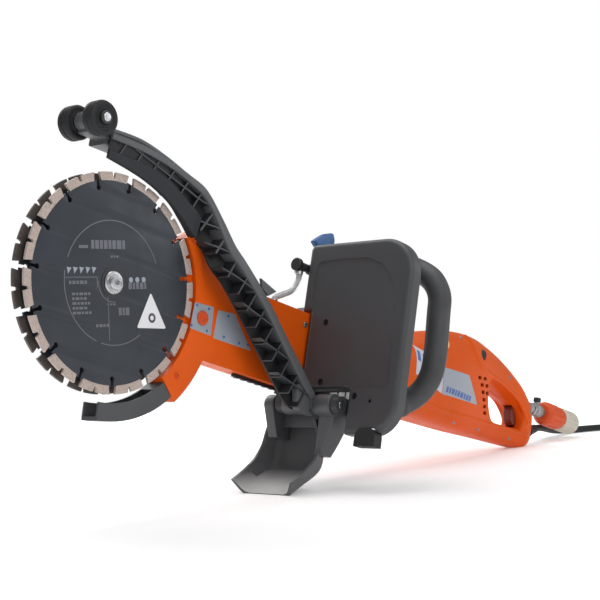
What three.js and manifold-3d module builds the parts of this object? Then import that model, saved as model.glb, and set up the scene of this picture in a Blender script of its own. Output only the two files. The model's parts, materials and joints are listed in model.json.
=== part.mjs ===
// A hand-held electric saw for deep cuts in concrete: twin 230 mm diamond blades on a slim
// belt-drive arm, with a roller guard, a splash panel, a front bow and a rear D-handle.
// Millimetres. Machine axes: +X from the blades to the rear handle, +Y to the far side, +Z up,
// with zero at the middle of the blade pair. The machine then leans back on its chute and its rear
// sole, which gives the part's own frame: +Z up, origin under the middle of its box.
import * as THREE from "three";
import { mergeVertices } from "three/addons/utils/BufferGeometryUtils.js";
import Module from "manifold-3d";

const wasm = await Module();
wasm.setup();

// ---------------------------------------------------------------- driving dimensions
const GAP = 0.3; // clearance between pieces that touch

const BLADE_R = 115;
const CORE_R = 106;
const BLADE_OFFSET = 8.9; // blade centre from the middle plane
const CORE_T = 2.2;
const SEGMENT_T = 3.2;
const SLOT_COUNT = 15;
const BORE_R = 11;

const ARM_HALF_H = 48;
const TIP_R = 46;
const TIP_HALF_T = 6.5; // between the blades
const ARM_HALF_T = 11;
const ARM_END_X = 330;
const ARC_R = 150; // outer radius of the fixed guard behind the blades
const ARC_IN_R = 118;
const ARC_HALF_T = 12.5;

const DRIVE = { x: 372, z: 16 }; // pulley shaft
const DRIVEN_R = 19;
const DRIVE_R = 22;
const BELT_W = 8;
const GEAR_R = 37;
const SHAFT_R = 7; // the pulley's shaft
const ROTOR_SHAFT_R = 6;
const PINION_R = 9.5;

const HOUSING = { x0: ARM_END_X + GAP, x1: 435, y: 40, z0: -58, z1: 62 };

const PANEL = { x0: 305, x1: 323, y0: -158, y1: 0, z0: -98, z1: 134, skin: 4 };
const FOOT = { x0: 303, x1: 317, y0: -136, y1: -107, z0: -112, z1: -91 };
const HINGE = { x: 300, z: -66, pinR: 5, y0: -86, y1: 24, lugY: -1, earY: 10 };
const AXLE = { x: -62, z: 156.5 }; // guard rollers
const CHUTE_LIP = { x: 279, z: -175 };
const SOLE = { x: 790, z: -26.5 }; // rear resting edge of the body
const PITCH = Math.atan2(SOLE.z - CHUTE_LIP.z, SOLE.x - CHUTE_LIP.x);

const LOCK = { x: 650, z: 77 }; // lock-on button
const CAP = { x: 546.5, y: -38.6, z: 71, r: 11, tilt: THREE.MathUtils.degToRad(25) };
const VALVE = { x: 333, y: 6 };
const INLET = { x: 823.3, y: -2, z: 40, knobX: 24 };
const CORD_EXIT = { x: 823.3, y: -2, z: 4 };
const CORD_R = 5;
const CORD_LOW = CORD_R + GAP; // height of the cord's centre on the ground
const RELIEF = { base: 4.4, length: 46, turn: THREE.MathUtils.degToRad(14) };
// A ring for the turns of cord on the ground, and where the cord leaves it for the plug.
const COIL = { x: 604, y: -32, inner: 34.7, outer: 65.3, height: 20.6, leaveDeg: 35, toPlug: 38.5 };
const PLUG = { bootR: 6.5, bootL: 24, r: 19, length: 84, pinR: 2.4, pinL: 19, pinSpread: 19 };

// ---------------------------------------------------------------- materials
const paint = (color, roughness = 0.5, metalness = 0) =>
  new THREE.MeshStandardMaterial({ color, roughness, metalness });
const ORANGE = paint(0xe2571c, 0.4);
const DARK = paint(0x45474a, 0.55);
const BLACK = paint(0x1c1d1f, 0.6);
const RUBBER = paint(0x2b2c2e, 0.85);
const STEEL = paint(0xa9adb2, 0.35, 1);
const CORE_STEEL = paint(0x4a4f57, 0.45, 0.8);
const CAST = paint(0x9b9ea1, 0.55, 0.7);
const COPPER = paint(0xb06a3a, 0.4, 0.9);
const CARBON = paint(0x2a2a2a, 0.7);
const BLUE = paint(0x2f6fae, 0.4);
const CREAM = paint(0xe6dcc6, 0.5);
const CLEAR = paint(0xc9cccb, 0.3);
const RED_ORANGE = paint(0xe0562f, 0.45);

// ---------------------------------------------------------------- solid helpers
function solidOf(geometry) {
  const bare = geometry.clone();
  bare.deleteAttribute("normal");
  bare.deleteAttribute("uv");
  const merged = mergeVertices(bare, 1e-3);
  const index = merged.index.array;
  const live = [];
  for (let i = 0; i < index.length; i += 3) {
    const [a, b, c] = [index[i], index[i + 1], index[i + 2]];
    if (a !== b && b !== c && c !== a) live.push(a, b, c);
  }
  const build = (triVerts) =>
    new wasm.Manifold(
      new wasm.Mesh({
        numProp: 3,
        vertProperties: new Float32Array(merged.attributes.position.array),
        triVerts: new Uint32Array(triVerts),
      }),
    );
  const made = build(live);
  if (made.volume() > 0) return made;
  for (let i = 0; i < live.length; i += 3) {
    [live[i + 1], live[i + 2]] = [live[i + 2], live[i + 1]];
  }
  return build(live);
}

function joined(first, ...others) {
  return others.reduce((sum, s) => sum.add(s), first);
}

function cut(first, ...others) {
  return others.reduce((left, s) => left.subtract(s), first);
}

function named(name, solid, material) {
  const m = solid.getMesh();
  const geometry = new THREE.BufferGeometry();
  geometry.setAttribute("position", new THREE.BufferAttribute(m.vertProperties, 3));
  geometry.setIndex(new THREE.BufferAttribute(m.triVerts, 1));
  geometry.computeVertexNormals();
  const mesh = new THREE.Mesh(geometry, material);
  mesh.name = name;
  return mesh;
}

const V2 = (x, y) => new THREE.Vector2(x, y);
const V3 = (x, y, z) => new THREE.Vector3(x, y, z);

function box(x0, x1, y0, y1, z0, z1) {
  const g = new THREE.BoxGeometry(x1 - x0, y1 - y0, z1 - z0);
  g.translate((x0 + x1) / 2, (y0 + y1) / 2, (z0 + z1) / 2);
  return solidOf(g);
}

function extruded(points, depth) {
  const shape = new THREE.Shape(points);
  return new THREE.ExtrudeGeometry(shape, { depth, bevelEnabled: false });
}

// Outline in (x, z), from y0 to y1.
function plateY(points, y0, y1) {
  const g = extruded(points, y1 - y0);
  g.rotateX(Math.PI / 2);
  g.translate(0, y1, 0);
  return solidOf(g);
}

// Outline in (y, z), from x0 to x1.
function plateX(points, x0, x1) {
  const g = extruded(points, x1 - x0);
  g.applyMatrix4(new THREE.Matrix4().makeBasis(V3(0, 1, 0), V3(0, 0, 1), V3(1, 0, 0)));
  g.translate(x0, 0, 0);
  return solidOf(g);
}

// Profile of [radius, height] pairs turned about an axis that starts at a point.
function turned(profile, axis, at, segments = 24) {
  const g = new THREE.LatheGeometry(
    profile.map(([r, h]) => V2(r, h)),
    segments,
  );
  if (axis === "x") g.rotateZ(-Math.PI / 2);
  if (axis === "z") g.rotateX(Math.PI / 2);
  g.translate(at[0], at[1], at[2]);
  return solidOf(g);
}

function rod(r, h0, h1, axis, at, segments = 20) {
  return turned([[0, h0], [r, h0], [r, h1], [0, h1]], axis, at, segments);
}

function ring(rIn, rOut, h0, h1, axis, at, segments = 20) {
  const profile = [[rIn, h0], [rOut, h0], [rOut, h1], [rIn, h1], [rIn, h0]];
  return turned(profile, axis, at, segments);
}

function polygon(count, r, turn = 0) {
  return Array.from({ length: count }, (_, i) => {
    const a = turn + (i * 2 * Math.PI) / count;
    return V2(r * Math.cos(a), r * Math.sin(a));
  });
}

function tube(points, r, sides, steps) {
  const path = new THREE.CatmullRomCurve3(points, false, "centripetal");
  const section = new THREE.Shape(polygon(sides, r));
  return solidOf(new THREE.ExtrudeGeometry(section, { steps, extrudePath: path }));
}

// A closed skin through rings that hold equal numbers of points.
function loft(rings) {
  const count = rings[0].length;
  const points = rings.flat();
  const first = points.length;
  const middle = (list) =>
    list.reduce((sum, p) => sum.add(p), V3(0, 0, 0)).divideScalar(list.length);
  points.push(middle(rings[0]), middle(rings.at(-1)));
  const faces = [];
  const last = (rings.length - 1) * count;
  for (let j = 0; j < count; j += 1) {
    const k = (j + 1) % count;
    for (let i = 0; i < rings.length - 1; i += 1) {
      const [a, b, c, d] = [i * count + j, i * count + k, (i + 1) * count + k, (i + 1) * count + j];
      faces.push(a, d, c, a, c, b);
    }
    faces.push(j, k, first, last + k, last + j, first + 1);
  }
  const g = new THREE.BufferGeometry().setFromPoints(points);
  g.setIndex(faces);
  return solidOf(g);
}

// Part of a circle's outline between two angles in degrees.
function arc(cx, cy, r, from, to, steps) {
  return Array.from({ length: steps + 1 }, (_, i) => {
    const a = THREE.MathUtils.degToRad(from + ((to - from) * i) / steps);
    return V2(cx + r * Math.cos(a), cy + r * Math.sin(a));
  });
}

function sector(rIn, rOut, from, to, steps) {
  return [...arc(0, 0, rOut, from, to, steps), ...arc(0, 0, rIn, to, from, steps)];
}

function roundedRect(a0, a1, b0, b1, r, steps = 4) {
  return [
    ...arc(a1 - r, b0 + r, r, -90, 0, steps),
    ...arc(a1 - r, b1 - r, r, 0, 90, steps),
    ...arc(a0 + r, b1 - r, r, 90, 180, steps),
    ...arc(a0 + r, b0 + r, r, 180, 270, steps),
  ];
}

// ---------------------------------------------------------------- blades and hub
function blade(name, y) {
  const pitch = 360 / SLOT_COUNT;
  const slotHalf = 1.6;
  const slotDepth = 18;
  const disc = ring(BORE_R, CORE_R, y - CORE_T / 2, y + CORE_T / 2, "y", [0, 0, 0], 60);
  const rim = ring(CORE_R - 1, BLADE_R, y - SEGMENT_T / 2, y + SEGMENT_T / 2, "y", [0, 0, 0], 60);
  let solid = disc.add(rim);
  for (let i = 0; i < SLOT_COUNT; i += 1) {
    const slot = box(BLADE_R - slotDepth, BLADE_R + 2, y - 4, y + 4, -slotHalf, slotHalf);
    solid = solid.subtract(slot.rotate([0, 6 + i * pitch, 0]));
  }
  return named(name, solid, CORE_STEEL);
}

function drivenPulley() {
  const flangeR = 16;
  const neckR = 8.7;
  const half = [
    [BORE_R - GAP, 10],
    [BORE_R - GAP, 7.5],
    [flangeR, 7.5],
    [flangeR, 6.8],
    [neckR, 6.8],
    [neckR, 4.4],
    [DRIVEN_R, 4.4],
  ];
  const profile = [
    [0, -10],
    ...half.map(([r, h]) => [r, -h]),
    ...half.reverse(),
    [0, 10],
  ];
  const body = turned(profile, "y", [0, 0, 0], 28);
  return named("driven_pulley", cut(body, rod(4.3, -11, 11, "y", [0, 0, 0], 12)), STEEL);
}

function bladeBolt(name, side) {
  const profile = [[0, 2], [4, 2], [4, 10.3], [12, 10.3], [12, 12.3], [7, 12.6], [6, 17], [0, 17]];
  const turnedSide = profile.map(([r, h]) => [r, side * h]);
  return named(name, turned(turnedSide, "y", [0, 0, 0], 18), STEEL);
}

// ---------------------------------------------------------------- arm
function armHousing() {
  const tip = [...arc(0, 0, TIP_R, 90, 270, 14), V2(170, -TIP_R), V2(170, TIP_R)];
  const thin = plateY(tip, -TIP_HALF_T, TIP_HALF_T);
  const beam = box(110, ARM_END_X, -ARM_HALF_T, ARM_HALF_T, -ARM_HALF_H - 1, ARM_HALF_H - 1);
  const clear = rod(ARC_R + GAP, -30, 30, "y", [0, 0, 0], 72);
  const thick = cut(beam, clear);
  const beltRoom = plateY(
    [...arc(0, 0, 30, 90, 270, 12), V2(ARM_END_X + 1, -30), V2(ARM_END_X + 1, 44), V2(200, 44)],
    -4.9,
    4.9,
  );
  const wideRoom = box(180, ARM_END_X + 1, -8, 8, -43, 43);
  const window = box(189.7, 310.3, 0, ARM_HALF_T + 1, -38.3, 38.3);
  const spindle = rod(12.8, -8, 8, "y", [0, 0, 0], 20);
  const solid = cut(joined(thin, thick), beltRoom, wideRoom, window, spindle);
  return named("arm_housing", solid, ORANGE);
}

function arcGuard() {
  const plate = plateY(sector(ARC_IN_R, ARC_R, -43, 40, 20), -ARC_HALF_T, ARC_HALF_T);
  const throat = box(90, 160, -TIP_HALF_T - GAP, TIP_HALF_T + GAP, -46.5, 46.5);
  return named("arc_guard", cut(plate, throat), ORANGE);
}

function guardTail() {
  const outer = plateY(sector(124, 143, -87, -43.4, 12), -12, 12);
  const channel = plateY(sector(119, 139, -89, -50, 12), -9.5, 9.5);
  return named("guard_tail", cut(outer, channel), DARK);
}

function belt() {
  const shift = { x: DRIVE.x, y: DRIVE.z };
  const span = Math.hypot(shift.x, shift.y);
  const tilt = THREE.MathUtils.radToDeg(Math.atan2(shift.y, shift.x));
  const flare = THREE.MathUtils.radToDeg(Math.asin((DRIVE_R - DRIVEN_R) / span));
  const loop = (grow) => {
    const small = arc(0, 0, DRIVEN_R + grow, 90 + flare + tilt, 270 - flare + tilt, 12);
    const large = arc(shift.x, shift.y, DRIVE_R + grow, -90 - flare + tilt, 90 + flare + tilt, 12);
    return [...small, ...large];
  };
  const half = BELT_W / 2;
  const solid = plateY(loop(3.3), -half, half).subtract(plateY(loop(GAP), -half - 1, half + 1));
  return named("drive_belt", solid, BLACK);
}

function tensioner() {
  const wheel = rod(9, -4, 4, "y", [270, 0, -25], 16);
  const post = rod(4, -7.6, 7.6, "y", [270, 0, -25], 12);
  return named("belt_tensioner", joined(wheel, post), STEEL);
}

function cuttingArm() {
  const group = new THREE.Group();
  group.add(
    armHousing(),
    named("arm_cover", box(190, 310, 8.3, ARM_HALF_T, -38, 38), ORANGE),
    arcGuard(),
    guardTail(),
    named("hub_bearing_near", ring(9, 12.5, -6.6, -4.8, "y", [0, 0, 0], 18), STEEL),
    named("hub_bearing_far", ring(9, 12.5, 4.8, 6.6, "y", [0, 0, 0], 18), STEEL),
    belt(),
    tensioner(),
    named("arm_wear_strip", box(204, 285, -2, 2, -53, -49.3), BLACK),
    named("arc_screw", rod(8, 0, 2.4, "y", [131, -ARC_HALF_T - GAP - 2.4, -4], 14), RED_ORANGE),
  );
  return group;
}

// ---------------------------------------------------------------- drive
function gearHousing() {
  const { x0, x1, y, z0, z1 } = HOUSING;
  const outer = plateX(roundedRect(-y, y, z0, z1, 12), x0, x1);
  const room = plateX(roundedRect(-y + 4, y - 4, z0 + 4, z1 - 4, 9), x0 + 4, x1 + 1);
  const beltSlot = box(x0 - 1, x0 + 5, -8, 8, -36, 46);
  const bore = rod(9.3, -50, 50, "y", [DRIVE.x, 0, DRIVE.z], 16);
  return named("gear_housing", cut(outer, room, beltSlot, bore), CAST);
}

function bevelGear() {
  const bore = SHAFT_R + GAP;
  const back = 8.6;
  const front = 22;
  const profile = [
    [bore, front],
    [bore, back],
    [GEAR_R - 12, back],
    [GEAR_R, 14],
    [GEAR_R - 4, 18],
    [12, front],
    [bore, front],
  ];
  return turned(profile, "y", [DRIVE.x, 0, DRIVE.z], 24);
}

function drive() {
  const at = [DRIVE.x, 0, DRIVE.z];
  const group = new THREE.Group();
  group.add(
    gearHousing(),
    named("pulley_shaft", rod(SHAFT_R, -39.5, 39.5, "y", at, 16), STEEL),
    named("drive_pulley", ring(SHAFT_R + GAP, DRIVE_R, -5, 5, "y", at, 24), STEEL),
    named("bevel_gear", bevelGear(), STEEL),
    named("shaft_bearing_near", ring(SHAFT_R + GAP, 9, -39.8, -36.2, "y", at, 16), STEEL),
    named("shaft_bearing_far", ring(SHAFT_R + GAP, 9, 36.2, 39.8, "y", at, 16), STEEL),
  );
  return group;
}

// Everything on the motor's axis, in a group whose x is measured along that axis.
function motor() {
  const group = new THREE.Group();
  group.position.set(0, 0, DRIVE.z);
  const at = [0, 0, 0];
  const onShaft = (name, r, x0, x1, material) =>
    named(name, ring(ROTOR_SHAFT_R + GAP, r, x0, x1, "x", at, 20), material);
  const brush = (name, y0, y1) => named(name, box(583, 594, y0, y1, -3.5, 3.5), CARBON);
  const brushIn = 17.4;
  const brushOut = 30;
  const bore = rod(22.6, 460, 570, "x", at, 24);
  const stator = cut(rod(35.5, 466, 560, "x", at, 24), bore);
  const pinionBore = ROTOR_SHAFT_R + GAP;
  const pinion = [
    [pinionBore, 400],
    [pinionBore, 416],
    [PINION_R, 416],
    [PINION_R - 2, 400],
    [pinionBore, 400],
  ];
  group.add(
    named("rotor_shaft", rod(ROTOR_SHAFT_R, 398.5, 618, "x", at, 14), STEEL),
    named("bevel_pinion", turned(pinion, "x", at, 16), STEEL),
    onShaft("fan", 30, 442, 454, BLACK),
    onShaft("rotor_core", 22, 470, 556, CAST),
    onShaft("commutator", 17, 576, 600, COPPER),
    onShaft("front_bearing", 15, 422, 432, STEEL),
    onShaft("rear_bearing", 13, 605, 614, STEEL),
    named("stator", stator, CAST),
    brush("carbon_brush_near", -brushOut, -brushIn),
    brush("carbon_brush_far", brushIn, brushOut),
  );
  return group;
}

// ---------------------------------------------------------------- body
// Stations along the body: x, top, bottom, half width.
const BODY = [
  [436, 56, -37, 41],
  [496, 59, -36, 44],
  [513, 68, -36, 45],
  [530, 80, -35.5, 45],
  [560, 90, -35, 45],
  [600, 98, -34, 43],
  [640, 100.5, -33, 38],
  [680, 97, -31, 30],
  [720, 90, -29.5, 23],
  [755, 79, -28, 20],
  [785, 65.5, -26.5, 19],
  [806, 50, -24, 18.5],
  [818, 36, -17, 15],
  [823, 24, -6, 9],
];

function ovalRing(x, top, bottom, halfY, count = 28, power = 3.4) {
  const mid = (top + bottom) / 2;
  const halfZ = (top - bottom) / 2;
  const bend = (v) => Math.sign(v) * Math.abs(v) ** (2 / power);
  return Array.from({ length: count }, (_, i) => {
    const a = ((i + 0.5) * 2 * Math.PI) / count;
    return V3(x, halfY * bend(Math.cos(a)), mid + halfZ * bend(Math.sin(a)));
  });
}

const HANDLE_HOLE = [
  V2(691, 4),
  V2(682, 18),
  V2(680, 32),
  V2(684, 41),
  V2(708, 42),
  V2(735, 38),
  V2(756, 33.5),
  V2(774, 28.5),
  V2(784, 18),
  V2(785, 4),
  V2(777, -1.5),
  V2(748, -2),
  V2(708, -3),
];

function bodySolid() {
  const outer = loft(BODY.map(([x, top, bottom, y]) => ovalRing(x, top, bottom, y)));
  const wall = 3;
  const roomStations = BODY.filter(([x]) => x >= 436 && x <= 680);
  const room = loft(
    roomStations.map(([x, top, bottom, y]) => {
      const at = x === 436 ? 435 : x;
      return ovalRing(at, top - wall, bottom + wall, y - wall);
    }),
  );
  const hole = plateY(HANDLE_HOLE, -60, 60);
  const switchRoom = box(788.3, 812, -9.3, 9.3, -4, 41);
  const triggerMouth = box(770, 790, -7.3, 7.3, 3, 38);
  const electronicsWay = box(670, 700, -10, 10, 62, 76);
  const ground = groundBlock();
  return cut(outer, room, hole, switchRoom, triggerMouth, electronicsWay, ground);
}

// A block whose top is the plane that the machine stands on.
function groundBlock() {
  const g = new THREE.BoxGeometry(2000, 400, 100);
  g.translate(0, 0, -50);
  g.rotateY(-PITCH);
  g.translate(SOLE.x, 0, SOLE.z);
  return solidOf(g);
}

function bodyShells() {
  const whole = bodySolid();
  const half = GAP / 2;
  const lockHole = rod(7.3, -60, -12, "y", [LOCK.x, 0, LOCK.z], 14);
  const dome = [[0, -1.5], [CAP.r, -1.5], [CAP.r, 0.8], [CAP.r - 1.6, 2.4], [7, 3.4], [0, 4]];
  const seat = [[0, -1.5 - GAP], [CAP.r + GAP, -1.5 - GAP], [CAP.r + GAP, 12], [0, 12]];
  const onCap = (profile) =>
    turned(profile, "y", [0, 0, 0], 20)
      .rotate([180 - THREE.MathUtils.radToDeg(CAP.tilt), 0, 0])
      .translate([CAP.x, CAP.y, CAP.z]);
  const near = cut(whole, box(400, 900, -half, 100, -200, 200), lockHole, onCap(seat));
  const far = cut(whole, box(400, 900, -100, half, -200, 200));
  const group = new THREE.Group();
  group.add(
    named("body_shell_near", near, ORANGE),
    named("body_shell_far", far, ORANGE),
    named("speed_electronics", box(545, 630, -22, 22, 56, 76), BLACK),
    named("indicator_cap", onCap(dome), CREAM),
  );
  return group;
}

function rearControls() {
  const lever = plateY(
    [V2(789, 36), V2(777, 34), V2(773, 24), V2(775, 12), V2(781, 5), V2(789, 5)],
    -6.9,
    6.9,
  );
  const buttonProfile = [[0, -34.5], [6, -34.5], [6.8, -33], [6.8, -16], [0, -16]];
  const lockButton = turned(buttonProfile, "y", [LOCK.x, 0, LOCK.z], 14);
  const group = new THREE.Group();
  group.add(
    named("trigger", lever, BLACK),
    named("switch_module", box(796.3, 811.6, -9, 9, -3, 40), BLACK),
    named("lock_button", lockButton, BLACK),
  );
  return group;
}

// ---------------------------------------------------------------- splash panel and front handle
function panelOutline(inset) {
  const { y0, y1, z0, z1 } = PANEL;
  const arm = { y: -ARM_HALF_T - 2 - inset, z0: -46 + inset, z1: 50 + inset };
  const low = -87 - inset;
  return [
    ...arc(y0 + 38, z0 + 38, 38 - inset, 180, 270, 6),
    V2(low, z0 + inset),
    V2(low, arm.z0),
    V2(arm.y, arm.z0),
    V2(arm.y, arm.z1),
    V2(y1 - inset, arm.z1),
    ...arc(y1 - 8, z1 - 8, 8 - inset, 0, 90, 3),
    ...arc(y0 + 46, z1 - 46, 46 - inset, 90, 180, 7),
  ];
}

// The rubber foot: an arched block let into the lower edge of the panel.
function footOutline(grow) {
  const { y0, y1, z0, z1 } = FOOT;
  const r = 10;
  return [
    V2(y0 - grow, z0 - grow),
    V2(y1 + grow, z0 - grow),
    ...arc(y1 - r, z1 - r, r + grow, 0, 90, 4),
    ...arc(y0 + r, z1 - r, r + grow, 90, 180, 4),
  ];
}

function splashPanel() {
  const { x0, x1, skin } = PANEL;
  const outer = plateX(panelOutline(0), x0, x1);
  const pocket = plateX(panelOutline(skin), x0 + skin, x1 + 1);
  const notch = plateX(footOutline(GAP), x0 - 1, FOOT.x1 + GAP);
  return named("splash_panel", cut(outer, pocket, notch), DARK);
}

function frontHandle() {
  const route = [
    V3(PANEL.x0 + PANEL.skin + GAP, -78, 112),
    V3(328, -78, 112),
    V3(348, -81, 117),
    V3(372, -92, 121),
    V3(385, -109, 116),
    V3(386, -129, 103),
    V3(386, -141, 84),
    V3(386, -143, 60),
    V3(386, -145, 12),
    V3(386, -142, -13),
    V3(384, -131, -33),
    V3(374, -117, -48),
    V3(350, -112, -57),
    V3(328, -110, -58),
    V3(PANEL.x0 + PANEL.skin + GAP, -110, -58),
  ];
  return named("front_handle", tube(route, 15, 12, 34), RUBBER);
}

function panelGroup() {
  const mount = box(PANEL.x0 + PANEL.skin + GAP, HOUSING.x0 - GAP, -38, -18, -40, 56);
  const foot = plateX(footOutline(0), FOOT.x0, FOOT.x1);
  const group = new THREE.Group();
  group.add(
    splashPanel(),
    named("panel_mount", mount, CAST),
    named("panel_foot", foot, RUBBER),
    frontHandle(),
  );
  return group;
}

// ---------------------------------------------------------------- roller guard
// Stations of the side leg: outer x, z, inner x, z, near y, far y.
const LEG = [
  [-40, 150, -41, 122, -18.5, -14],
  [2, 152, 9, 116.5, -18.5, -14],
  [39, 149, 49, 105, -19, -14],
  [74, 143, 76, 90, -20, -14],
  [104, 134, 96, 72, -22, -13.5],
  [122, 104, 112, 58, -36, -16],
  [136, 79, 131, 38, -46, -26],
  [157, 60, 150, 20, -52, -34],
  [238, -3, 208, -37, -52, -34],
  [284, -44, 262, -72, -52, -34],
  [HINGE.x - 2, HINGE.z + 10, HINGE.x - 4, HINGE.z - 10, -50, -36],
];
// Stations of the beam over the blades: outer x, z, inner x, z.
const BEAM = [
  [-40, 154, -41, 138],
  [0, 156.5, 4, 139],
  [39, 151, 35, 133],
  [76, 142, 67, 119],
];

function strap(stations) {
  return loft(
    stations.map(([ox, oz, ix, iz, y0, y1]) => [
      V3(ox, y0, oz),
      V3(ox, y1, oz),
      V3(ix, y1, iz),
      V3(ix, y0, iz),
    ]),
  );
}

function rollerGuard() {
  const beam = strap(BEAM.map((s) => [...s, -18.5, 18.5]));
  const leg = strap(LEG);
  const at = [HINGE.x, 0, HINGE.z];
  const sleeve = rod(11, -50, HINGE.lugY - GAP, "y", at, 18);
  const neck = box(AXLE.x - 2, -38, -10.5, 10.5, 143, 153);
  const boss = rod(10, -10.5, 10.5, "y", [AXLE.x, 0, AXLE.z], 16);
  const fin = plateY([V2(176, 52), V2(204, 44), V2(192, 36), V2(180, 42)], -50, -46);
  const solid = joined(beam, leg, sleeve, neck, boss, fin);
  const axleBore = rod(4.3, -12, 12, "y", [AXLE.x, 0, AXLE.z], 12);
  const pinBore = rod(HINGE.pinR + GAP, -60, 60, "y", at, 14);
  return named("roller_guard", cut(solid, axleBore, pinBore), DARK);
}

function guardGroup() {
  const at = [AXLE.x, 0, AXLE.z];
  const wheel = [[4.6, 0], [16, 0], [18.5, 2.5], [18.5, 13.5], [16, 16], [4.6, 16], [4.6, 0]];
  const roller = (name, y) => named(name, turned(wheel, "y", [at[0], y, at[2]], 22), RUBBER);
  const axleProfile = [
    [0, -31],
    [7, -31],
    [7, -28.5],
    [4, -28.5],
    [4, 28.5],
    [7, 28.5],
    [7, 31],
    [0, 31],
  ];
  const axle = turned(axleProfile, "y", at, 14);
  const group = new THREE.Group();
  group.add(
    rollerGuard(),
    roller("guard_roller_near", -27.5),
    roller("guard_roller_far", 11.5),
    named("guard_axle", axle, STEEL),
  );
  return group;
}

// ---------------------------------------------------------------- chute and its hinge
// The scoop, a trough open to the front that ends in a lip: each section has a back edge and a
// front edge. With an inset it is the room inside, which runs out through the open sides.
function scoop(inset) {
  const mid = -8.5;
  const out = inset ? 12 : 0;
  const section = (back, front) => [
    V3(back.x, mid - back.half + inset, back.z),
    V3(back.x, mid + back.half - inset, back.z),
    V3(front.x, mid + front.half - inset, front.z),
    V3(front.x, mid - front.half + inset, front.z),
  ];
  const lipSlope = 36 / 47;
  return loft([
    section(
      { x: 331 - inset, z: -80 + out, half: 34 },
      { x: 305 - out, z: -80 + out, half: 36 },
    ),
    section({ x: 331 - inset, z: -112, half: 38 }, { x: 309 - out, z: -112, half: 48 }),
    section(
      { x: 330 - inset, z: -137 + inset, half: 36 },
      { x: 309 - out, z: -125 + out / 2, half: 48 },
    ),
    section(
      { x: CHUTE_LIP.x + 4 - out, z: CHUTE_LIP.z - 0.5 + inset - out * lipSlope, half: 36 },
      { x: CHUTE_LIP.x - 6 - out, z: CHUTE_LIP.z + 10 + out, half: 48 },
    ),
  ]);
}

function debrisChute() {
  const shell = cut(scoop(0), scoop(4));
  const ear = (y0, y1) =>
    plateY(
      [...arc(HINGE.x, HINGE.z, 12, -20, 200, 10), V2(304, -104), V2(331, -104), V2(331, -78)],
      y0,
      y1,
    );
  const apron = box(313, 317, -60, HINGE.earY + 2, -90, HINGE.z);
  const knuckle = rod(13, -76, -52.5, "y", [HINGE.x, 0, HINGE.z], 18);
  const web = box(301, 331, -76, -52.5, -110, -62);
  const tie = box(308, 331, -54, -46, -114, -81);
  const whole = joined(shell, ear(HINGE.earY, HINGE.y1), knuckle, web, tie, apron);
  const bore = rod(HINGE.pinR + GAP, -90, 60, "y", [HINGE.x, 0, HINGE.z], 14);
  return named("debris_chute", cut(whole, bore, groundBlock()), DARK);
}

function hingeGroup() {
  const at = [HINGE.x, 0, HINGE.z];
  const base = box(339, 372, HINGE.y0, 30, -68, HOUSING.z0 - GAP);
  const outline = arc(HINGE.x, HINGE.z, 10.5, 90, 270, 8);
  const nearLug = plateY([...outline, V2(345, -76), V2(345, -60), V2(325, -60)], HINGE.y0, -77);
  const underArm = HINGE.lugY + 10;
  const hanger = plateY(
    [...arc(HINGE.x, HINGE.z, 10, 180, 360, 8), V2(310, -54), V2(290, -54)],
    HINGE.lugY,
    underArm - 1,
  );
  const spine = box(288, 329.7, -10, 10, -54.5, -49.3);
  const heel = box(329.7 - GAP, 339.5, -10, 10, -68, HOUSING.z0 - GAP);
  const drop = box(320, 329.7, -10, 10, -68, -54);
  const bore = rod(HINGE.pinR + GAP, -100, 80, "y", at, 14);
  const bracket = cut(joined(base, nearLug, hanger, spine, drop, heel), bore);
  const group = new THREE.Group();
  group.add(
    named("hinge_bracket", bracket, DARK),
    named("hinge_pin", rod(HINGE.pinR, HINGE.y0, HINGE.y1, "y", at, 14), STEEL),
    debrisChute(),
  );
  return group;
}

// ---------------------------------------------------------------- water
function waterGroup() {
  const { x, y } = VALVE;
  const base = HOUSING.z1 + GAP;
  const stemProfile = [[0, base], [6, base], [6, 92], [9, 94], [9, 130], [5, 132], [0, 132]];
  const stem = turned(stemProfile, "z", [x, y, 0], 16);
  const hoseY = y + 2;
  const spigot = rod(5, 297, 330, "x", [0, hoseY, 106], 12);
  const blade = plateY(
    [V2(322, 135), V2(345, 135), V2(352, 152), V2(346, 162), V2(332, 156), V2(312, 141)],
    y - 4,
    y + 4,
  );
  const lever = joined(rod(8.5, 132.3, 138, "z", [x, y, 0], 16), blade);
  const hoseRoute = [
    V3(300, hoseY, 100.6),
    V3(300, hoseY, 88),
    V3(292, hoseY, 73),
    V3(276, hoseY, 63),
    V3(265, hoseY, 57),
    V3(262, hoseY, 52),
    V3(262, hoseY, 47.6),
  ];
  const group = new THREE.Group();
  group.add(
    named("water_valve", joined(stem, spigot), BLACK),
    named("valve_lever", lever, BLUE),
    named("arm_hose", tube(hoseRoute, 3.5, 8, 16), CLEAR),
  );
  return group;
}

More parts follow.
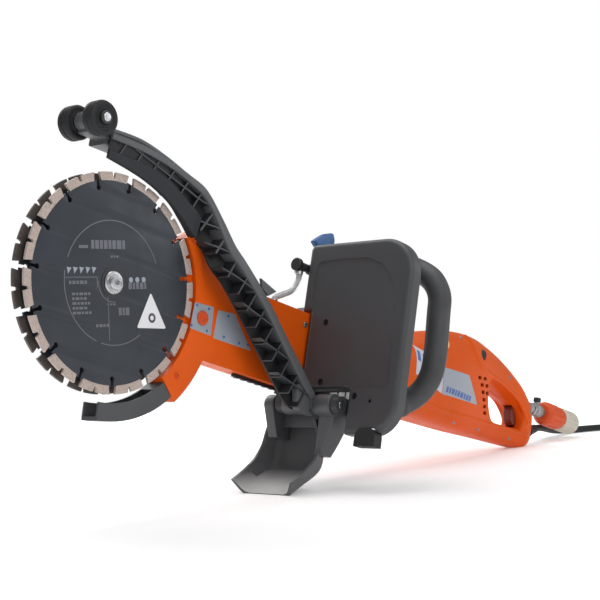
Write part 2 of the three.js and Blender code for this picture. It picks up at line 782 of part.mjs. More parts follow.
// Everything on the inlet's axis, in a group whose x starts where it leaves the handle.
function inletGroup() {
  const group = new THREE.Group();
  group.position.set(INLET.x, INLET.y, INLET.z);
  const at = [0, 0, 0];
  const nippleProfile = [
    [0, 0],
    [8, 0],
    [8, 8],
    [6, 9],
    [6, 16],
    [9.5, 18],
    [9.5, 31],
    [6.5, 33],
    [6.5, 39],
    [0, 39],
  ];
  const neck = rod(4.5, 6, 12, "z", [INLET.knobX, 0, 0], 10);
  const nipple = joined(turned(nippleProfile, "x", at, 18), neck);
  const hub = rod(5.5, 12.3, 19, "z", [INLET.knobX, 0, 0], 14);
  const wing = box(INLET.knobX - 8, INLET.knobX + 8, -1.8, 1.8, 13, 18.5);
  const front = 39 + GAP;
  const back = 123;
  const collarX = 86;
  const tailR = 8.7;
  const bodyProfile = [
    [0, front],
    [13, front],
    [17, 43],
    [18, 52],
    [18, 80],
    [16, collarX],
    [tailR, collarX],
    [tailR, back],
    [0, back],
  ];
  const collarR = tailR + GAP;
  const collarProfile = [
    [collarR, collarX + GAP],
    [16.5, collarX + GAP],
    [17.5, 90],
    [17.5, 119],
    [15.5, back],
    [collarR, back],
    [collarR, collarX + GAP],
  ];
  group.add(
    named("inlet_nipple", nipple, CAST),
    named("inlet_knob", joined(hub, wing), BLACK),
    named("quick_connector", turned(bodyProfile, "x", at, 24), RED_ORANGE),
    named("connector_collar", turned(collarProfile, "x", at, 24), CREAM),
  );
  return group;
}

// ---------------------------------------------------------------- supply
// A tapered boot that leaves the handle level with the ground, turned aside to pass the connector.
function strainRelief() {
  const { base, length } = RELIEF;
  const profile = [[0, base], [9, base], [9, 9], [8, 11], [5.8, length], [0, length]];
  const group = new THREE.Group();
  group.position.set(CORD_EXIT.x, CORD_EXIT.y, CORD_EXIT.z);
  group.rotation.set(0, -PITCH, RELIEF.turn);
  group.add(named("strain_relief", turned(profile, "x", [0, 0, 0], 16), RUBBER));
  return group;
}

// The free stretch of cord, from the boot down to the ground and round to the coil. It stands in
// the part's own frame, as the coil and the plug do.
const CORD_ROUTE = [
  V3(432, 66.7, 20),
  V3(446, 70.2, 19.6),
  V3(462, 74.1, 18.2),
  V3(480, 78.4, 15.6),
  V3(498, 82.2, 12.4),
  V3(517, 85, 9.4),
  V3(537, 86, 7),
  V3(557, 84.2, 5.7),
  V3(576, 79.4, CORD_LOW),
  V3(594, 72, CORD_LOW),
  V3(611, 61.6, CORD_LOW),
  V3(625.5, 49, CORD_LOW),
  V3(636, 36.8, CORD_LOW),
  V3(643.4, 26.1, CORD_LOW),
];

// The plug lies beside the coil, in line with the tangent where the cord leaves it.
function plug() {
  const { bootR, bootL, r, length, pinR, pinL } = PLUG;
  const shoulder = bootL + 6;
  const face = length - pinL;
  const body = turned(
    [[0, 0], [bootR, 0], [bootR + 2, bootL], [r, shoulder], [r, face - 3], [r - 2, face], [0, face]],
    "x",
    [0, 0, 0],
    18,
  );
  const pin = (y) => rod(pinR, face - 2, length, "x", [0, y, 0], 12);
  const mesh = named("plug", joined(body, pin(-PLUG.pinSpread / 2), pin(PLUG.pinSpread / 2)), BLACK);
  const leave = THREE.MathUtils.degToRad(COIL.leaveDeg);
  const turnR = COIL.outer - CORD_R;
  mesh.position.set(
    COIL.x + turnR * Math.cos(leave) + COIL.toPlug * Math.sin(leave),
    COIL.y + turnR * Math.sin(leave) - COIL.toPlug * Math.cos(leave),
    r + GAP,
  );
  mesh.rotation.z = leave - Math.PI / 2;
  return mesh;
}

function supply() {
  const { x, y, inner, outer, height } = COIL;
  const coil = ring(inner, outer, GAP, GAP + height, "z", [x, y, 0], 28);
  const group = new THREE.Group();
  group.add(
    named("power_cord", tube(CORD_ROUTE, CORD_R, 8, 14), RUBBER),
    named("cord_coil", coil, RUBBER),
    plug(),
  );
  return group;
}

// ---------------------------------------------------------------- assembly
const blades = new THREE.Group();
blades.add(
  blade("blade_near", -BLADE_OFFSET),
  blade("blade_far", BLADE_OFFSET),
  drivenPulley(),
  bladeBolt("blade_bolt_near", -1),
  bladeBolt("blade_bolt_far", 1),
);

const machine = new THREE.Group();
machine.add(
  blades,
  cuttingArm(),
  drive(),
  motor(),
  bodyShells(),
  rearControls(),
  panelGroup(),
  guardGroup(),
  hingeGroup(),
  waterGroup(),
  inletGroup(),
  strainRelief(),
);
machine.rotation.y = PITCH;
machine.updateMatrixWorld(true);
const bounds = new THREE.Box3().setFromObject(machine, true);
const middle = bounds.getCenter(new THREE.Vector3());
machine.position.set(-middle.x, -middle.y, -bounds.min.z);

const saw = new THREE.Group();
saw.add(machine, supply());

export default saw;
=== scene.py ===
"""Looks of an electric deep-cut concrete saw, built on its CAD frame.

Shapes are made in the machine's own millimetres: x from the blades to the rear handle along the
arm, y to the far side, z up, zero between the two blades. MACHINE turns them into the row frame.
"""
import json
import math
from collections import namedtuple
from contextlib import contextmanager

import bmesh
import bpy
from mathutils import Euler, Matrix, Vector
from mathutils.bvhtree import BVHTree


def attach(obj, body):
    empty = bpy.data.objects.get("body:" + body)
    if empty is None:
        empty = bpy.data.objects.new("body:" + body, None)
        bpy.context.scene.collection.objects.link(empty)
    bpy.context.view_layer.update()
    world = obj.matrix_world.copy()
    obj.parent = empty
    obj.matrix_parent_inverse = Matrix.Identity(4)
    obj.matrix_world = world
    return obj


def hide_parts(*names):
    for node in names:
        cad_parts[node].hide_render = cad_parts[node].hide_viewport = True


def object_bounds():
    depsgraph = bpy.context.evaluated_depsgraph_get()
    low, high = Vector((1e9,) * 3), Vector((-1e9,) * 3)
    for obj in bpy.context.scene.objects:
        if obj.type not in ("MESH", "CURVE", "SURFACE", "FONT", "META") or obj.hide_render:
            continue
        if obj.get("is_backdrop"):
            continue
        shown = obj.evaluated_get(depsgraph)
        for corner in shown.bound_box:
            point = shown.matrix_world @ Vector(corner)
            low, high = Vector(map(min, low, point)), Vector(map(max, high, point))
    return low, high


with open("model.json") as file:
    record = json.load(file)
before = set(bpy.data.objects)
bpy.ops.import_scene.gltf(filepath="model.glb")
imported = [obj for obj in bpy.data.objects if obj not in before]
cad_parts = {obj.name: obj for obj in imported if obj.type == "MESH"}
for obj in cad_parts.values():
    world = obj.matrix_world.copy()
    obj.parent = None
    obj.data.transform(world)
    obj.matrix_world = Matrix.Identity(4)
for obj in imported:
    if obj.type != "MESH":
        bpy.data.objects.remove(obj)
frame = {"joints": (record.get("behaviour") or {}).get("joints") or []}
CAD_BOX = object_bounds()
JOINTS = {j["name"]: j for j in frame["joints"]}
ALONG = Vector(JOINTS["rotor_spin"]["axis"]).normalized()
ACROSS = Vector((0, 1, 0))
UPWARD = ALONG.cross(ACROSS)
ROW_MM = Matrix.Scale(0.001, 4)
TURN = Matrix((ALONG, ACROSS, UPWARD)).transposed().to_4x4()
MACHINE = Matrix.Translation(JOINTS["blade_spin"]["pos_m"]) @ TURN @ ROW_MM


def linked(name, data):
    """A new object in the scene."""
    obj = bpy.data.objects.new(name, data)
    bpy.context.scene.collection.objects.link(obj)
    return obj


def make_camera():
    data = bpy.data.cameras.new("camera")
    data.sensor_width = 36
    data.lens = 84
    data.clip_end = 100
    camera = linked("camera", data)
    camera.location = (-1.3725, -1.0404, 0.1982)
    heading, elevation, roll = (math.radians(a) for a in (40.78, 0.82, -2.75))
    aim = Euler((math.pi / 2 + elevation, 0, heading - math.pi / 2)).to_matrix()
    camera.rotation_euler = (aim @ Matrix.Rotation(roll, 3, "Z")).to_euler()
    bpy.context.scene.camera = camera


make_camera()


# ---------------------------------------------------------------- materials
def add_node(tree, kind, **inputs):
    """A new node whose inputs are set to values, or linked where they are given sockets."""
    node = tree.nodes.new("ShaderNode" + kind)
    for name, value in inputs.items():
        socket = node.inputs[name.replace("_", " ")]
        if isinstance(value, bpy.types.NodeSocket):
            tree.links.new(value, socket)
        else:
            socket.default_value = value
    return node


def color_ramp(tree, value, low, high, start, end):
    node = add_node(tree, "ValToRGB", Fac=value)
    for stop, color, position in zip(node.color_ramp.elements, (low, high), (start, end)):
        stop.position = position
        stop.color = (*color, 1)
    return node.outputs["Color"]


class Finish:
    """A Principled material whose colour, roughness and bump vary over the surface."""

    def __init__(self, name, color, roughness, metallic=0.0, specular=0.5):
        self.m = bpy.data.materials.new(name)
        self.m.use_nodes = True
        self.tree = self.m.node_tree
        self.shader = self.tree.nodes["Principled BSDF"]
        self.color = color
        self.put("Base Color", (*color, 1))
        self.put("Roughness", roughness)
        self.put("Metallic", metallic)
        self.put("Specular IOR Level", specular)
        self.place = add_node(self.tree, "TexCoord").outputs["Object"]
        self.normal = None

    def put(self, socket, value):
        self.shader.inputs[socket].default_value = value

    def feed(self, output, socket):
        self.tree.links.new(output, self.shader.inputs[socket])
        return self

    def noise(self, scale, detail=4.0, stretch=None):
        place = self.place
        if stretch:
            place = add_node(self.tree, "Mapping", Scale=stretch, Vector=place).outputs["Vector"]
        node = add_node(self.tree, "TexNoise", Scale=scale, Detail=detail, Vector=place)
        return node.outputs["Fac"]

    def tint(self, value, low, high, start=0.35, end=0.65):
        return self.feed(color_ramp(self.tree, value, low, high, start, end), "Base Color")

    def mottle(self, scale, amount, stretch=None):
        """Colour drifts by a part of itself."""
        low = [c * (1 - amount) for c in self.color]
        high = [min(1.0, c * (1 + amount)) for c in self.color]
        return self.tint(self.noise(scale, stretch=stretch), low, high)

    def ranged(self, value, span, low, high, socket):
        """Feeds a socket with a value brought from one span into another."""
        node = add_node(
            self.tree, "MapRange", Value=value, From_Min=span[0], From_Max=span[1],
            To_Min=low, To_Max=high,
        )
        return self.feed(node.outputs["Result"], socket)

    def gloss(self, scale, low, high):
        """Roughness drifts between two values."""
        return self.ranged(self.noise(scale), (0.3, 0.7), low, high, "Roughness")

    def grain(self, scale, strength, height=0.0002):
        noise = self.noise(scale, 3.0)
        bump = add_node(self.tree, "Bump", Strength=strength, Distance=height, Height=noise)
        if self.normal:
            self.tree.links.new(self.normal, bump.inputs["Normal"])
        self.normal = bump.outputs["Normal"]
        return self.feed(self.normal, "Normal")


def plastic(name, color, roughness, grain, specular=0.5):
    finish = Finish(name, color, roughness, specular=specular)
    finish.mottle(9, 0.05).gloss(30, roughness * 0.88, roughness * 1.12)
    return finish.grain(1400, grain).m


def rubber(name, color, roughness):
    finish = Finish(name, color, roughness, specular=0.4)
    finish.mottle(24, 0.12).gloss(40, roughness * 0.85, roughness * 1.15)
    return finish.grain(900, 0.5).m


def metal(name, color, roughness):
    finish = Finish(name, color, roughness, 1.0)
    finish.mottle(60, 0.12).gloss(160, roughness * 0.75, roughness * 1.3)
    return finish.grain(700, 0.25, 0.0001).m


def paint(name, color, roughness, specular=0.3, coat=0.0):
    """Powder coat: a fine orange peel over a finer one."""
    finish = Finish(name, color, roughness, specular=specular)
    finish.put("Coat Weight", coat)
    finish.put("Coat Roughness", 0.25)
    finish.mottle(14, 0.05).gloss(50, roughness * 0.85, roughness * 1.15)
    return finish.grain(500, 0.18, 0.0003).grain(2200, 0.1).m


def sintered(name, color):
    """Diamond segments: pale bond metal with grit and a little wear."""
    finish = Finish(name, color, 0.55, 0.35)
    worn = [c * 0.72 for c in color]
    return finish.tint(finish.noise(900, 6.0), worn, color, 0.38, 0.56).grain(1100, 0.8, 0.0004).m


def cast_metal(name, color, roughness):
    finish = Finish(name, color, roughness, 0.85)
    finish.mottle(35, 0.15).gloss(80, roughness * 0.8, roughness * 1.2)
    return finish.grain(420, 0.5, 0.0004).m


def core_metal(name, color):
    finish = Finish(name, color, 0.42, 0.35)
    return finish.mottle(20, 0.1, (1, 4, 1)).gloss(60, 0.36, 0.5).grain(900, 0.2, 0.0001).m


def dusty(name, color, dust):
    """Plastic with pale dust that thickens towards the ground."""
    finish = Finish(name, color, 0.6, specular=0.3)
    height = add_node(finish.tree, "SeparateXYZ", Vector=finish.place).outputs["Z"]
    return finish.tint(height, dust, color, 0.006, 0.024).gloss(60, 0.5, 0.75).grain(900, 0.5).m


def clear_tube(name):
    finish = Finish(name, (0.62, 0.64, 0.64), 0.16)
    finish.put("Transmission Weight", 0.55)
    finish.put("IOR", 1.4)
    return finish.grain(300, 0.15).m


ORANGE_PAINT = paint("orange_paint", (0.74, 0.100, 0.003), 0.42, 0.22)
ORANGE_BODY = plastic("orange_plastic", (0.66, 0.086, 0.002), 0.42, 0.16, 0.14)
ORANGE_DEEP = plastic("orange_trim", (0.62, 0.075, 0.004), 0.45, 0.2, 0.3)
DARK = plastic("dark_plastic", (0.062, 0.064, 0.069), 0.5, 0.35)
DARK_PANEL = plastic("panel_plastic", (0.052, 0.054, 0.058), 0.44, 0.3)
DARK_METAL = paint("dark_metal", (0.045, 0.047, 0.05), 0.5, coat=0.05)
BLACK = plastic("black_plastic", (0.014, 0.0145, 0.016), 0.5, 0.4)
GRIP = rubber("handle_rubber", (0.060, 0.061, 0.064), 0.55)
TYRE = rubber("roller_rubber", (0.018, 0.0185, 0.02), 0.62)
CORD = rubber("cord_rubber", (0.016, 0.0165, 0.018), 0.55)
STEEL = metal("steel", (0.62, 0.63, 0.65), 0.3)
DULL_STEEL = metal("dull_steel", (0.30, 0.305, 0.31), 0.42)
CORE_STEEL = core_metal("blade_core", (0.040, 0.047, 0.058))
SEGMENT = sintered("segment", (0.56, 0.46, 0.41))
# The far blade's segments: the same bond metal as the near ones, darkened as painted shade from the near
# blade.
SEGMENT_FAR_SHADED = sintered("segment_far_painted_shade", (0.135, 0.115, 0.105))
PRINT = plastic("print_grey", (0.15, 0.16, 0.18), 0.6, 0.1, 0.3)
PRINT_LIGHT = plastic("print_light", (0.80, 0.80, 0.82), 0.5, 0.1)
LABEL = plastic("label_grey", (0.33, 0.36, 0.41), 0.45, 0.08, 0.3)
LABEL_PALE = plastic("label_pale", (0.50, 0.53, 0.60), 0.45, 0.08, 0.3)
LABEL_BLUE = plastic("label_blue", (0.05, 0.12, 0.36), 0.4, 0.08)
BLUE = plastic("blue_plastic", (0.012, 0.10, 0.29), 0.35, 0.15)
TRIGGER = plastic("trigger_red", (0.17, 0.04, 0.028), 0.45, 0.2)
CREAM = plastic("cream_plastic", (0.60, 0.56, 0.47), 0.45, 0.15, 0.3)
PALE_ORANGE = plastic("pale_cap", (0.90, 0.52, 0.24), 0.35, 0.1)
RED_ORANGE = plastic("red_orange_plastic", (0.66, 0.085, 0.02), 0.4, 0.12, 0.25)
CAST = cast_metal("cast_alloy", (0.36, 0.365, 0.37), 0.5)
CLEAR = clear_tube("clear_hose")
COPPER = metal("copper", (0.72, 0.36, 0.19), 0.3)
GUARD = plastic("guard_plastic", (0.100, 0.103, 0.109), 0.45, 0.3, 0.4)
GUARD_SKIRT = plastic("guard_skirt", (0.020, 0.022, 0.026), 0.5, 0.3, 0.3)
# Painted shade: the leg's pocket floors and rib sides are near black for the shade in the deep cells,
# darker than the guard's own plastic.
GUARD_POCKET_SHADE = plastic("guard_pocket_painted_shade", (0.010, 0.0105, 0.012), 0.6, 0.3)
GUARD_RIB_SHADE = plastic("guard_rib", (0.022, 0.023, 0.026), 0.5, 0.3)
# Painted highlight: a lighter strip along the ribs' near edges.
GUARD_EDGE_HIGHLIGHT = plastic("guard_edge_painted_highlight", (0.055, 0.057, 0.063), 0.45, 0.2, 0.4)
CHUTE = plastic("chute_plastic", (0.072, 0.074, 0.079), 0.46, 0.35)
CHUTE_FLOOR = dusty("chute_dust", (0.070, 0.072, 0.077), (0.50, 0.505, 0.50))
IRON = metal("motor_iron", (0.22, 0.22, 0.23), 0.5)
CARBON = plastic("carbon", (0.02, 0.02, 0.021), 0.7, 0.4)
# Painted shade: near-black sheets set in the floors of holes and behind slots, where there is only shade.
HOLE = plastic("hole_painted_shade", (0.004, 0.004, 0.004), 0.9, 0.05)


# ---------------------------------------------------------------- mesh helpers
@contextmanager
def editing(mesh):
    bm = bmesh.new()
    bm.from_mesh(mesh)
    yield bm
    bm.to_mesh(mesh)
    bm.free()


def cleaned(mesh):
    """Joins doubled points and turns the faces out."""
    with editing(mesh) as bm:
        bmesh.ops.remove_doubles(bm, verts=bm.verts, dist=1e-4)
        bmesh.ops.recalc_face_normals(bm, faces=bm.faces)
    return mesh


def solid(verts, faces):
    """A working object in millimetres."""
    mesh = bpy.data.meshes.new("work")
    mesh.from_pydata([tuple(v) for v in verts], [], faces)
    return linked("work", cleaned(mesh))


def evaluated(obj):
    bpy.context.view_layer.update()
    graph = bpy.context.evaluated_depsgraph_get()
    return bpy.data.meshes.new_from_object(obj.evaluated_get(graph))


def modified(obj, kind, **settings):
    """Applies one modifier to a working object."""
    modifier = obj.modifiers.new(kind, kind)
    for key, value in settings.items():
        setattr(modifier, key, value)
    mesh = evaluated(obj)
    obj.modifiers.clear()
    obj.data = mesh
    return obj


def removed(obj):
    bpy.data.objects.remove(obj)


def boolean(obj, other, operation):
    modified(obj, "BOOLEAN", operation=operation, solver="EXACT", object=other)
    removed(other)
    return obj


def cut(obj, *others):
    for other in others:
        boolean(obj, other, "DIFFERENCE")
    return obj


def rounded(obj, width, segments=2):
    return modified(
        obj, "BEVEL", width=width, segments=segments, limit_method="ANGLE",
        angle_limit=math.radians(30), harden_normals=False,
    )


def softened(obj, voxel, passes):
    """Melts the pieces of obj into one skin with soft edges."""
    modified(obj, "REMESH", mode="VOXEL", voxel_size=voxel)
    return modified(obj, "SMOOTH", iterations=passes, factor=0.5)


def coated(obj, material):
    obj.data.materials.clear()
    obj.data.materials.append(material)
    return obj


def merged(objects, material=None):
    """One object from several, their shells kept apart; a material coats them all first."""
    bm = bmesh.new()
    slots = []
    for obj in objects:
        if material:
            coated(obj, material)
        offset = len(slots)
        slots += list(obj.data.materials)
        start = len(bm.faces)
        bm.from_mesh(obj.data)
        bm.faces.ensure_lookup_table()
        for face in bm.faces[start:] if offset else ():
            face.material_index += offset
        removed(obj)
    mesh = bpy.data.meshes.new("work")
    bm.to_mesh(mesh)
    bm.free()
    for m in slots:
        mesh.materials.append(m)
    return linked("work", mesh)


def finish(obj, name, material, slot, replaces=(), body="machine", sharp=32, matrix=MACHINE):
    """Names a working object, brings it into the row frame and fixes it to its body."""
    obj.data.transform(matrix)
    obj.name = name
    obj.data.name = name
    if material:
        coated(obj, material)
    smooth_shaded(obj.data, sharp)
    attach(obj, body)
    if replaces:
        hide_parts(*replaces)
    return obj


def smooth_shaded(mesh, sharp):
    mesh.polygons.foreach_set("use_smooth", [True] * len(mesh.polygons))
    mesh.set_sharp_from_angle(angle=math.radians(sharp))
    mesh.update()


def turned(*columns):
    """A turn whose columns say which axis each of x, y and z goes to."""
    rows = [[float(columns[c] == r) - float(columns[c] == -r) for c in range(3)] for r in (1, 2, 3)]
    return Matrix(rows).to_4x4()


AXIS_TURN = {"z": turned(1, 2, 3), "x": turned(2, 3, 1), "y": turned(3, 1, 2)}
PLANE_TURN = {"xz": turned(1, 3, -2), "yz": turned(2, 3, 1)}


def lathe(profile, axis="z", at=(0, 0, 0), segments=48):
    """Turns [radius, height] pairs about an axis; a profile that closes on itself makes a ring."""
    closed = profile[0] == profile[-1]
    pairs = profile[:-1] if closed else profile
    count = len(pairs)
    turn = Matrix.Translation(at) @ AXIS_TURN[axis]
    verts, faces = [], []
    for i in range(segments):
        a = 2 * math.pi * i / segments
        verts += [turn @ Vector((r * math.cos(a), r * math.sin(a), h)) for r, h in pairs]
        here, there = i * count, (i + 1) % segments * count
        for k in range(count if closed else count - 1):
            j = (k + 1) % count
            faces.append((here + k, there + k, there + j, here + j))
    obj = solid(verts, faces)
    with editing(obj.data) as bm:
        bmesh.ops.dissolve_degenerate(bm, edges=bm.edges, dist=1e-4)
        bmesh.ops.recalc_face_normals(bm, faces=bm.faces)
    return obj


def rod(radius, start, end, axis="z", at=(0, 0, 0), segments=32):
    return lathe([(0, start), (radius, start), (radius, end), (0, end)], axis, at, segments)


def box(x0, x1, y0, y1, z0, z1):
    corners = [(x, y, z) for x in (x0, x1) for y in (y0, y1) for z in (z0, z1)]
    faces = [(0, 1, 3, 2), (4, 6, 7, 5), (0, 4, 5, 1), (2, 3, 7, 6), (0, 2, 6, 4), (1, 5, 7, 3)]
    return solid(corners, faces)


def poly_curve(name, loops, cyclic, **settings):
    """A curve object of straight-run splines, each a list of points."""
    curve = bpy.data.curves.new(name, "CURVE")
    for key, value in settings.items():
        setattr(curve, key, value)
    for loop in loops:
        line = curve.splines.new("POLY")
        line.points.add(len(loop) - 1)
        for point, p in zip(line.points, loop):
            point.co = (*p, 1)
        line.use_cyclic_u = cyclic
    return linked(name, curve)


def plate(outline, start, end, bevel=0.0, holes=(), steps=2, plane="xz"):
    """A flat plate between two heights across its plane, with its edges rounded by bevel."""
    flat = [[(a, b, 0) for a, b in loop] for loop in (outline, *holes)]
    obj = poly_curve(
        "work", flat, True, dimensions="2D", fill_mode="BOTH", extrude=abs(end - start) / 2 - bevel,
        bevel_depth=bevel, bevel_resolution=steps, offset=-bevel,
    )
    mesh = cleaned(evaluated(obj))
    removed(obj)
    middle = (start + end) / 2
    lift = -middle if plane == "xz" else middle
    mesh.transform(PLANE_TURN[plane] @ Matrix.Translation((0, 0, lift)))
    return linked("work", mesh)


def loft(rings):
    """A closed skin through rings of equal length."""
    count, total = len(rings[0]), len(rings)
    faces = []
    for here in range(0, (total - 1) * count, count):
        for k in range(count):
            j = (k + 1) % count
            faces.append((here + k, here + j, here + count + j, here + count + k))
    faces.append(tuple(range(count)))
    faces.append(tuple(range((total - 1) * count, total * count)))
    return solid([p for ring in rings for p in ring], faces)


def catmull(a, b, c, d, t):
    ahead = (c - a) * t
    bend = (2 * a - 5 * b + 4 * c - d) * t * t
    twist = (3 * b - a - 3 * c + d) * t * t * t
    return b + (ahead + bend + twist) / 2


def spline(points, per_span=8):
    """Points on a smooth curve through the given ones (any number of coordinates)."""
    out = []
    last = len(points) - 1
    for i in range(last):
        four = (points[max(i - 1, 0)], points[i], points[i + 1], points[min(i + 2, last)])
        for k in range(per_span):
            out.append([catmull(*values, k / per_span) for values in zip(*four)])
    out.append(list(points[-1]))
    return out


def swept(points, section, side=None):
    """A skin along points; section gives (angle, radius) pairs at a share of the way."""
    points = [Vector(p) for p in points]
    last = len(points) - 1
    rings = []
    for i, point in enumerate(points):
        tangent = (points[min(i + 1, last)] - points[max(i - 1, 0)]).normalized()
        if side is None:
            side = tangent.orthogonal().normalized()
        side = (side - tangent * side.dot(tangent)).normalized()
        other = tangent.cross(side)
        pairs = section(i / last)
        rings.append([point + (side * math.cos(a) + other * math.sin(a)) * r for a, r in pairs])
    return loft(rings)


def tube(points, radius, sides=20):
    """A round bar along points."""
    section = [(2 * math.pi * k / sides, radius) for k in range(sides)]
    return swept(points, lambda share: section)


def arc(cx, cy, r, start, end, steps):
    angles = [math.radians(start + (end - start) * i / steps) for i in range(steps + 1)]
    return [(cx + r * math.cos(a), cy + r * math.sin(a)) for a in angles]


def rounded_rect(a0, a1, b0, b1, r, steps=4):
    centres = ((a1 - r, b0 + r), (a1 - r, b1 - r), (a0 + r, b1 - r), (a0 + r, b0 + r))
    return [p for k, at in enumerate(centres) for p in arc(*at, r, 90 * k - 90, 90 * k, steps)]


def eased(corners, r=0, steps=5):
    """A polygon whose corners, (a, b) or (a, b, radius), are rounded by quadratic curves."""
    out = []
    count = len(corners)
    for i in range(count):
        before, here, after = (Vector(corners[(i + k) % count][:2]) for k in (-1, 0, 1))
        reach = corners[i][2] if len(corners[i]) > 2 else r
        start = here + (before - here).normalized() * reach
        end = here + (after - here).normalized() * reach
        for k in range(steps + 1):
            t = k / steps
            out.append(tuple(start * (1 - t) ** 2 + here * 2 * t * (1 - t) + end * t * t))
    return out


def upright(at, along, pairs):
    """A ring of points from pairs of distance along a direction of the side view, and y."""
    places = [(at + along * r, y) for r, y in pairs]
    return [Vector((p.x, y, p.y)) for p, y in places]


def cap_screw(x, y, z, r, axis="y", toward=-1, material=DULL_STEEL):
    """A socket screw head whose face looks along an axis."""
    h = 0.55 * r * toward
    head = lathe([(0, 0), (r, 0), (r, h * 0.7), (r * 0.85, h), (0, h)], axis, (x, y, z), 24)
    at = [x, y, z]
    at["xyz".index(axis)] += h * 0.45
    return coated(cut(head, rod(r * 0.48, 0, h, axis, at, 6)), material)


# ---------------------------------------------------------------- cord
CORD_RADIUS = 5
CORD_LAYER = 10.2
CORD_LOW = 5.3
CORD_ROUTE = [
    (432, 66.7, 20), (446, 70.2, 19.6), (462, 74.1, 18.2), (480, 78.4, 15.6), (498, 82.2, 12.4),
    (517, 85, 9.4), (537, 86, 7), (557, 84.2, 5.7), (576, 79.4, CORD_LOW), (594, 72, CORD_LOW),
    (611, 61.6, CORD_LOW), (625.5, 49, CORD_LOW), (636, 36.8, CORD_LOW), (643.4, 26.1, CORD_LOW),
]
COIL_X, COIL_Y = 604, -32
COIL_R = (60.3, 50.1, 39.9)
COIL_START = 25
COIL_TURNED = 4 * 360 + 350
PLUG_AT = (675.5, -29, 19.3)
PLUG_HEADING = math.radians(-55)
RELIEF_AT = (823.3, -2, 4)


def coil_at(turned_by):
    """Radius and height of the cord after some degrees of its winding, clockwise from above."""
    turn, rest = divmod(turned_by, 360)
    late = min(max((rest - 240) / 120, 0), 1)
    early = min(max((rest - 120) / 120, 0), 1)
    if turn < 2:
        return COIL_R[turn] - CORD_LAYER * late, CORD_LOW
    if turn == 2:
        away = CORD_LAYER * (1 - late)
        return COIL_R[2], CORD_LOW + math.sqrt(CORD_LAYER**2 - away**2)
    return COIL_R[5 - turn] + CORD_LAYER * early, CORD_LOW + CORD_LAYER


def cord_points():
    points = spline(CORD_ROUTE, 3)
    for step in range(0, COIL_TURNED + 1, 10):
        r, z = coil_at(step)
        a = math.radians(COIL_START - step)
        points.append((COIL_X + r * math.cos(a), COIL_Y + r * math.sin(a), z))
    x, y, z = points[-1]
    for t in (0.33, 0.67, 1.0):
        lift = t * t * (3 - 2 * t)
        middle = [a + (b - a) * t for a, b in zip((x, y), PLUG_AT)]
        points.append((*middle, z + (PLUG_AT[2] - z) * lift))
    return [[c * 0.001 for c in p] for p in points]


def power_cord(points):
    obj = poly_curve(
        "power_cord_flex", [points], False, dimensions="3D", bevel_depth=CORD_RADIUS * 0.001,
        bevel_resolution=5,
    )
    obj.data.splines[0].use_smooth = True
    obj.data.materials.append(CORD)
    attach(obj, "machine")
    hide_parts("power_cord", "cord_coil")
    return obj


def plug():
    rings = []
    for i in range(5):
        h = 5 + i * 4.4
        r = 7.4 + i * 0.25
        rings += [(r, h), (r, h + 2.2), (r - 1.6, h + 2.5), (r - 1.6, h + 4.1)]
    profile = [(0, 0), (6.6, 0), (6.9, 4.5), *rings, (10, 27.5), (17, 29.5), (19, 32)]
    profile += [(19, 44), (18.2, 45), (18.2, 46), (19, 47), (19, 61), (17.5, 64), (0, 64)]
    black = [lathe(profile, "x")]
    for i in range(14):
        grip = rod(0.9, 33, 43, "x", (0, 18.1, 0), 10)
        grip.data.transform(Matrix.Rotation(2 * math.pi * i / 14, 4, "X"))
        black.append(grip)
    pin = [(0, 63), (2.4, 63), (2.4, 82.5), (1.6, 84), (0, 84)]
    pins = [lathe(pin, "x", (0, side, 0), 20) for side in (-9.5, 9.5)]
    whole = merged([merged(black, BLACK), merged(pins, STEEL)])
    place = ROW_MM @ Matrix.Translation(PLUG_AT) @ Matrix.Rotation(PLUG_HEADING, 4, "Z")
    return finish(whole, "mains_plug", None, "black_plastic", ["plug"], matrix=place)


def strain_relief():
    """A ribbed taper that leaves the handle level with the ground."""
    profile = [(0, 4.4), (9.3, 4.4), (9.3, 8), (8.2, 10)]
    for i in range(7):
        h = 12 + i * 4.4
        r = 7.9 - i * 0.28
        profile += [(r, h), (r, h + 2.6), (r - 1.1, h + 3), (r - 1.1, h + 4)]
    profile += [(6.0, 44), (5.4, 46), (0, 46)]
    relief = lathe(profile, "x", segments=36)
    level = Matrix.Rotation(math.asin(ALONG.z), 4, "Y")
    aside = Matrix.Rotation(math.radians(14), 4, "Z")
    relief.data.transform(Matrix.Translation(RELIEF_AT) @ level @ aside)
    return finish(relief, "cord_boot", CORD, "cord_rubber", ["strain_relief"])


CORD_POINTS = cord_points()
power_cord(CORD_POINTS)
tuple(CORD_POINTS[0])
round(sum(map(math.dist, CORD_POINTS, CORD_POINTS[1:])), 3)
plug()
strain_relief()


# ---------------------------------------------------------------- blades and hub
BLADE_OFFSET = 8.9
CORE_HALF = 1.1
CORE_R = 107
SEGMENT_HALF = 1.6
SEGMENT_R = 115
SLOT_HALF = 1.7
SLOT_HOLE_R, SLOT_HOLE_AT = 2.9, 99
SLOTS = [-6 - 24 * i for i in range(15)]
PRINT_TILT = 16
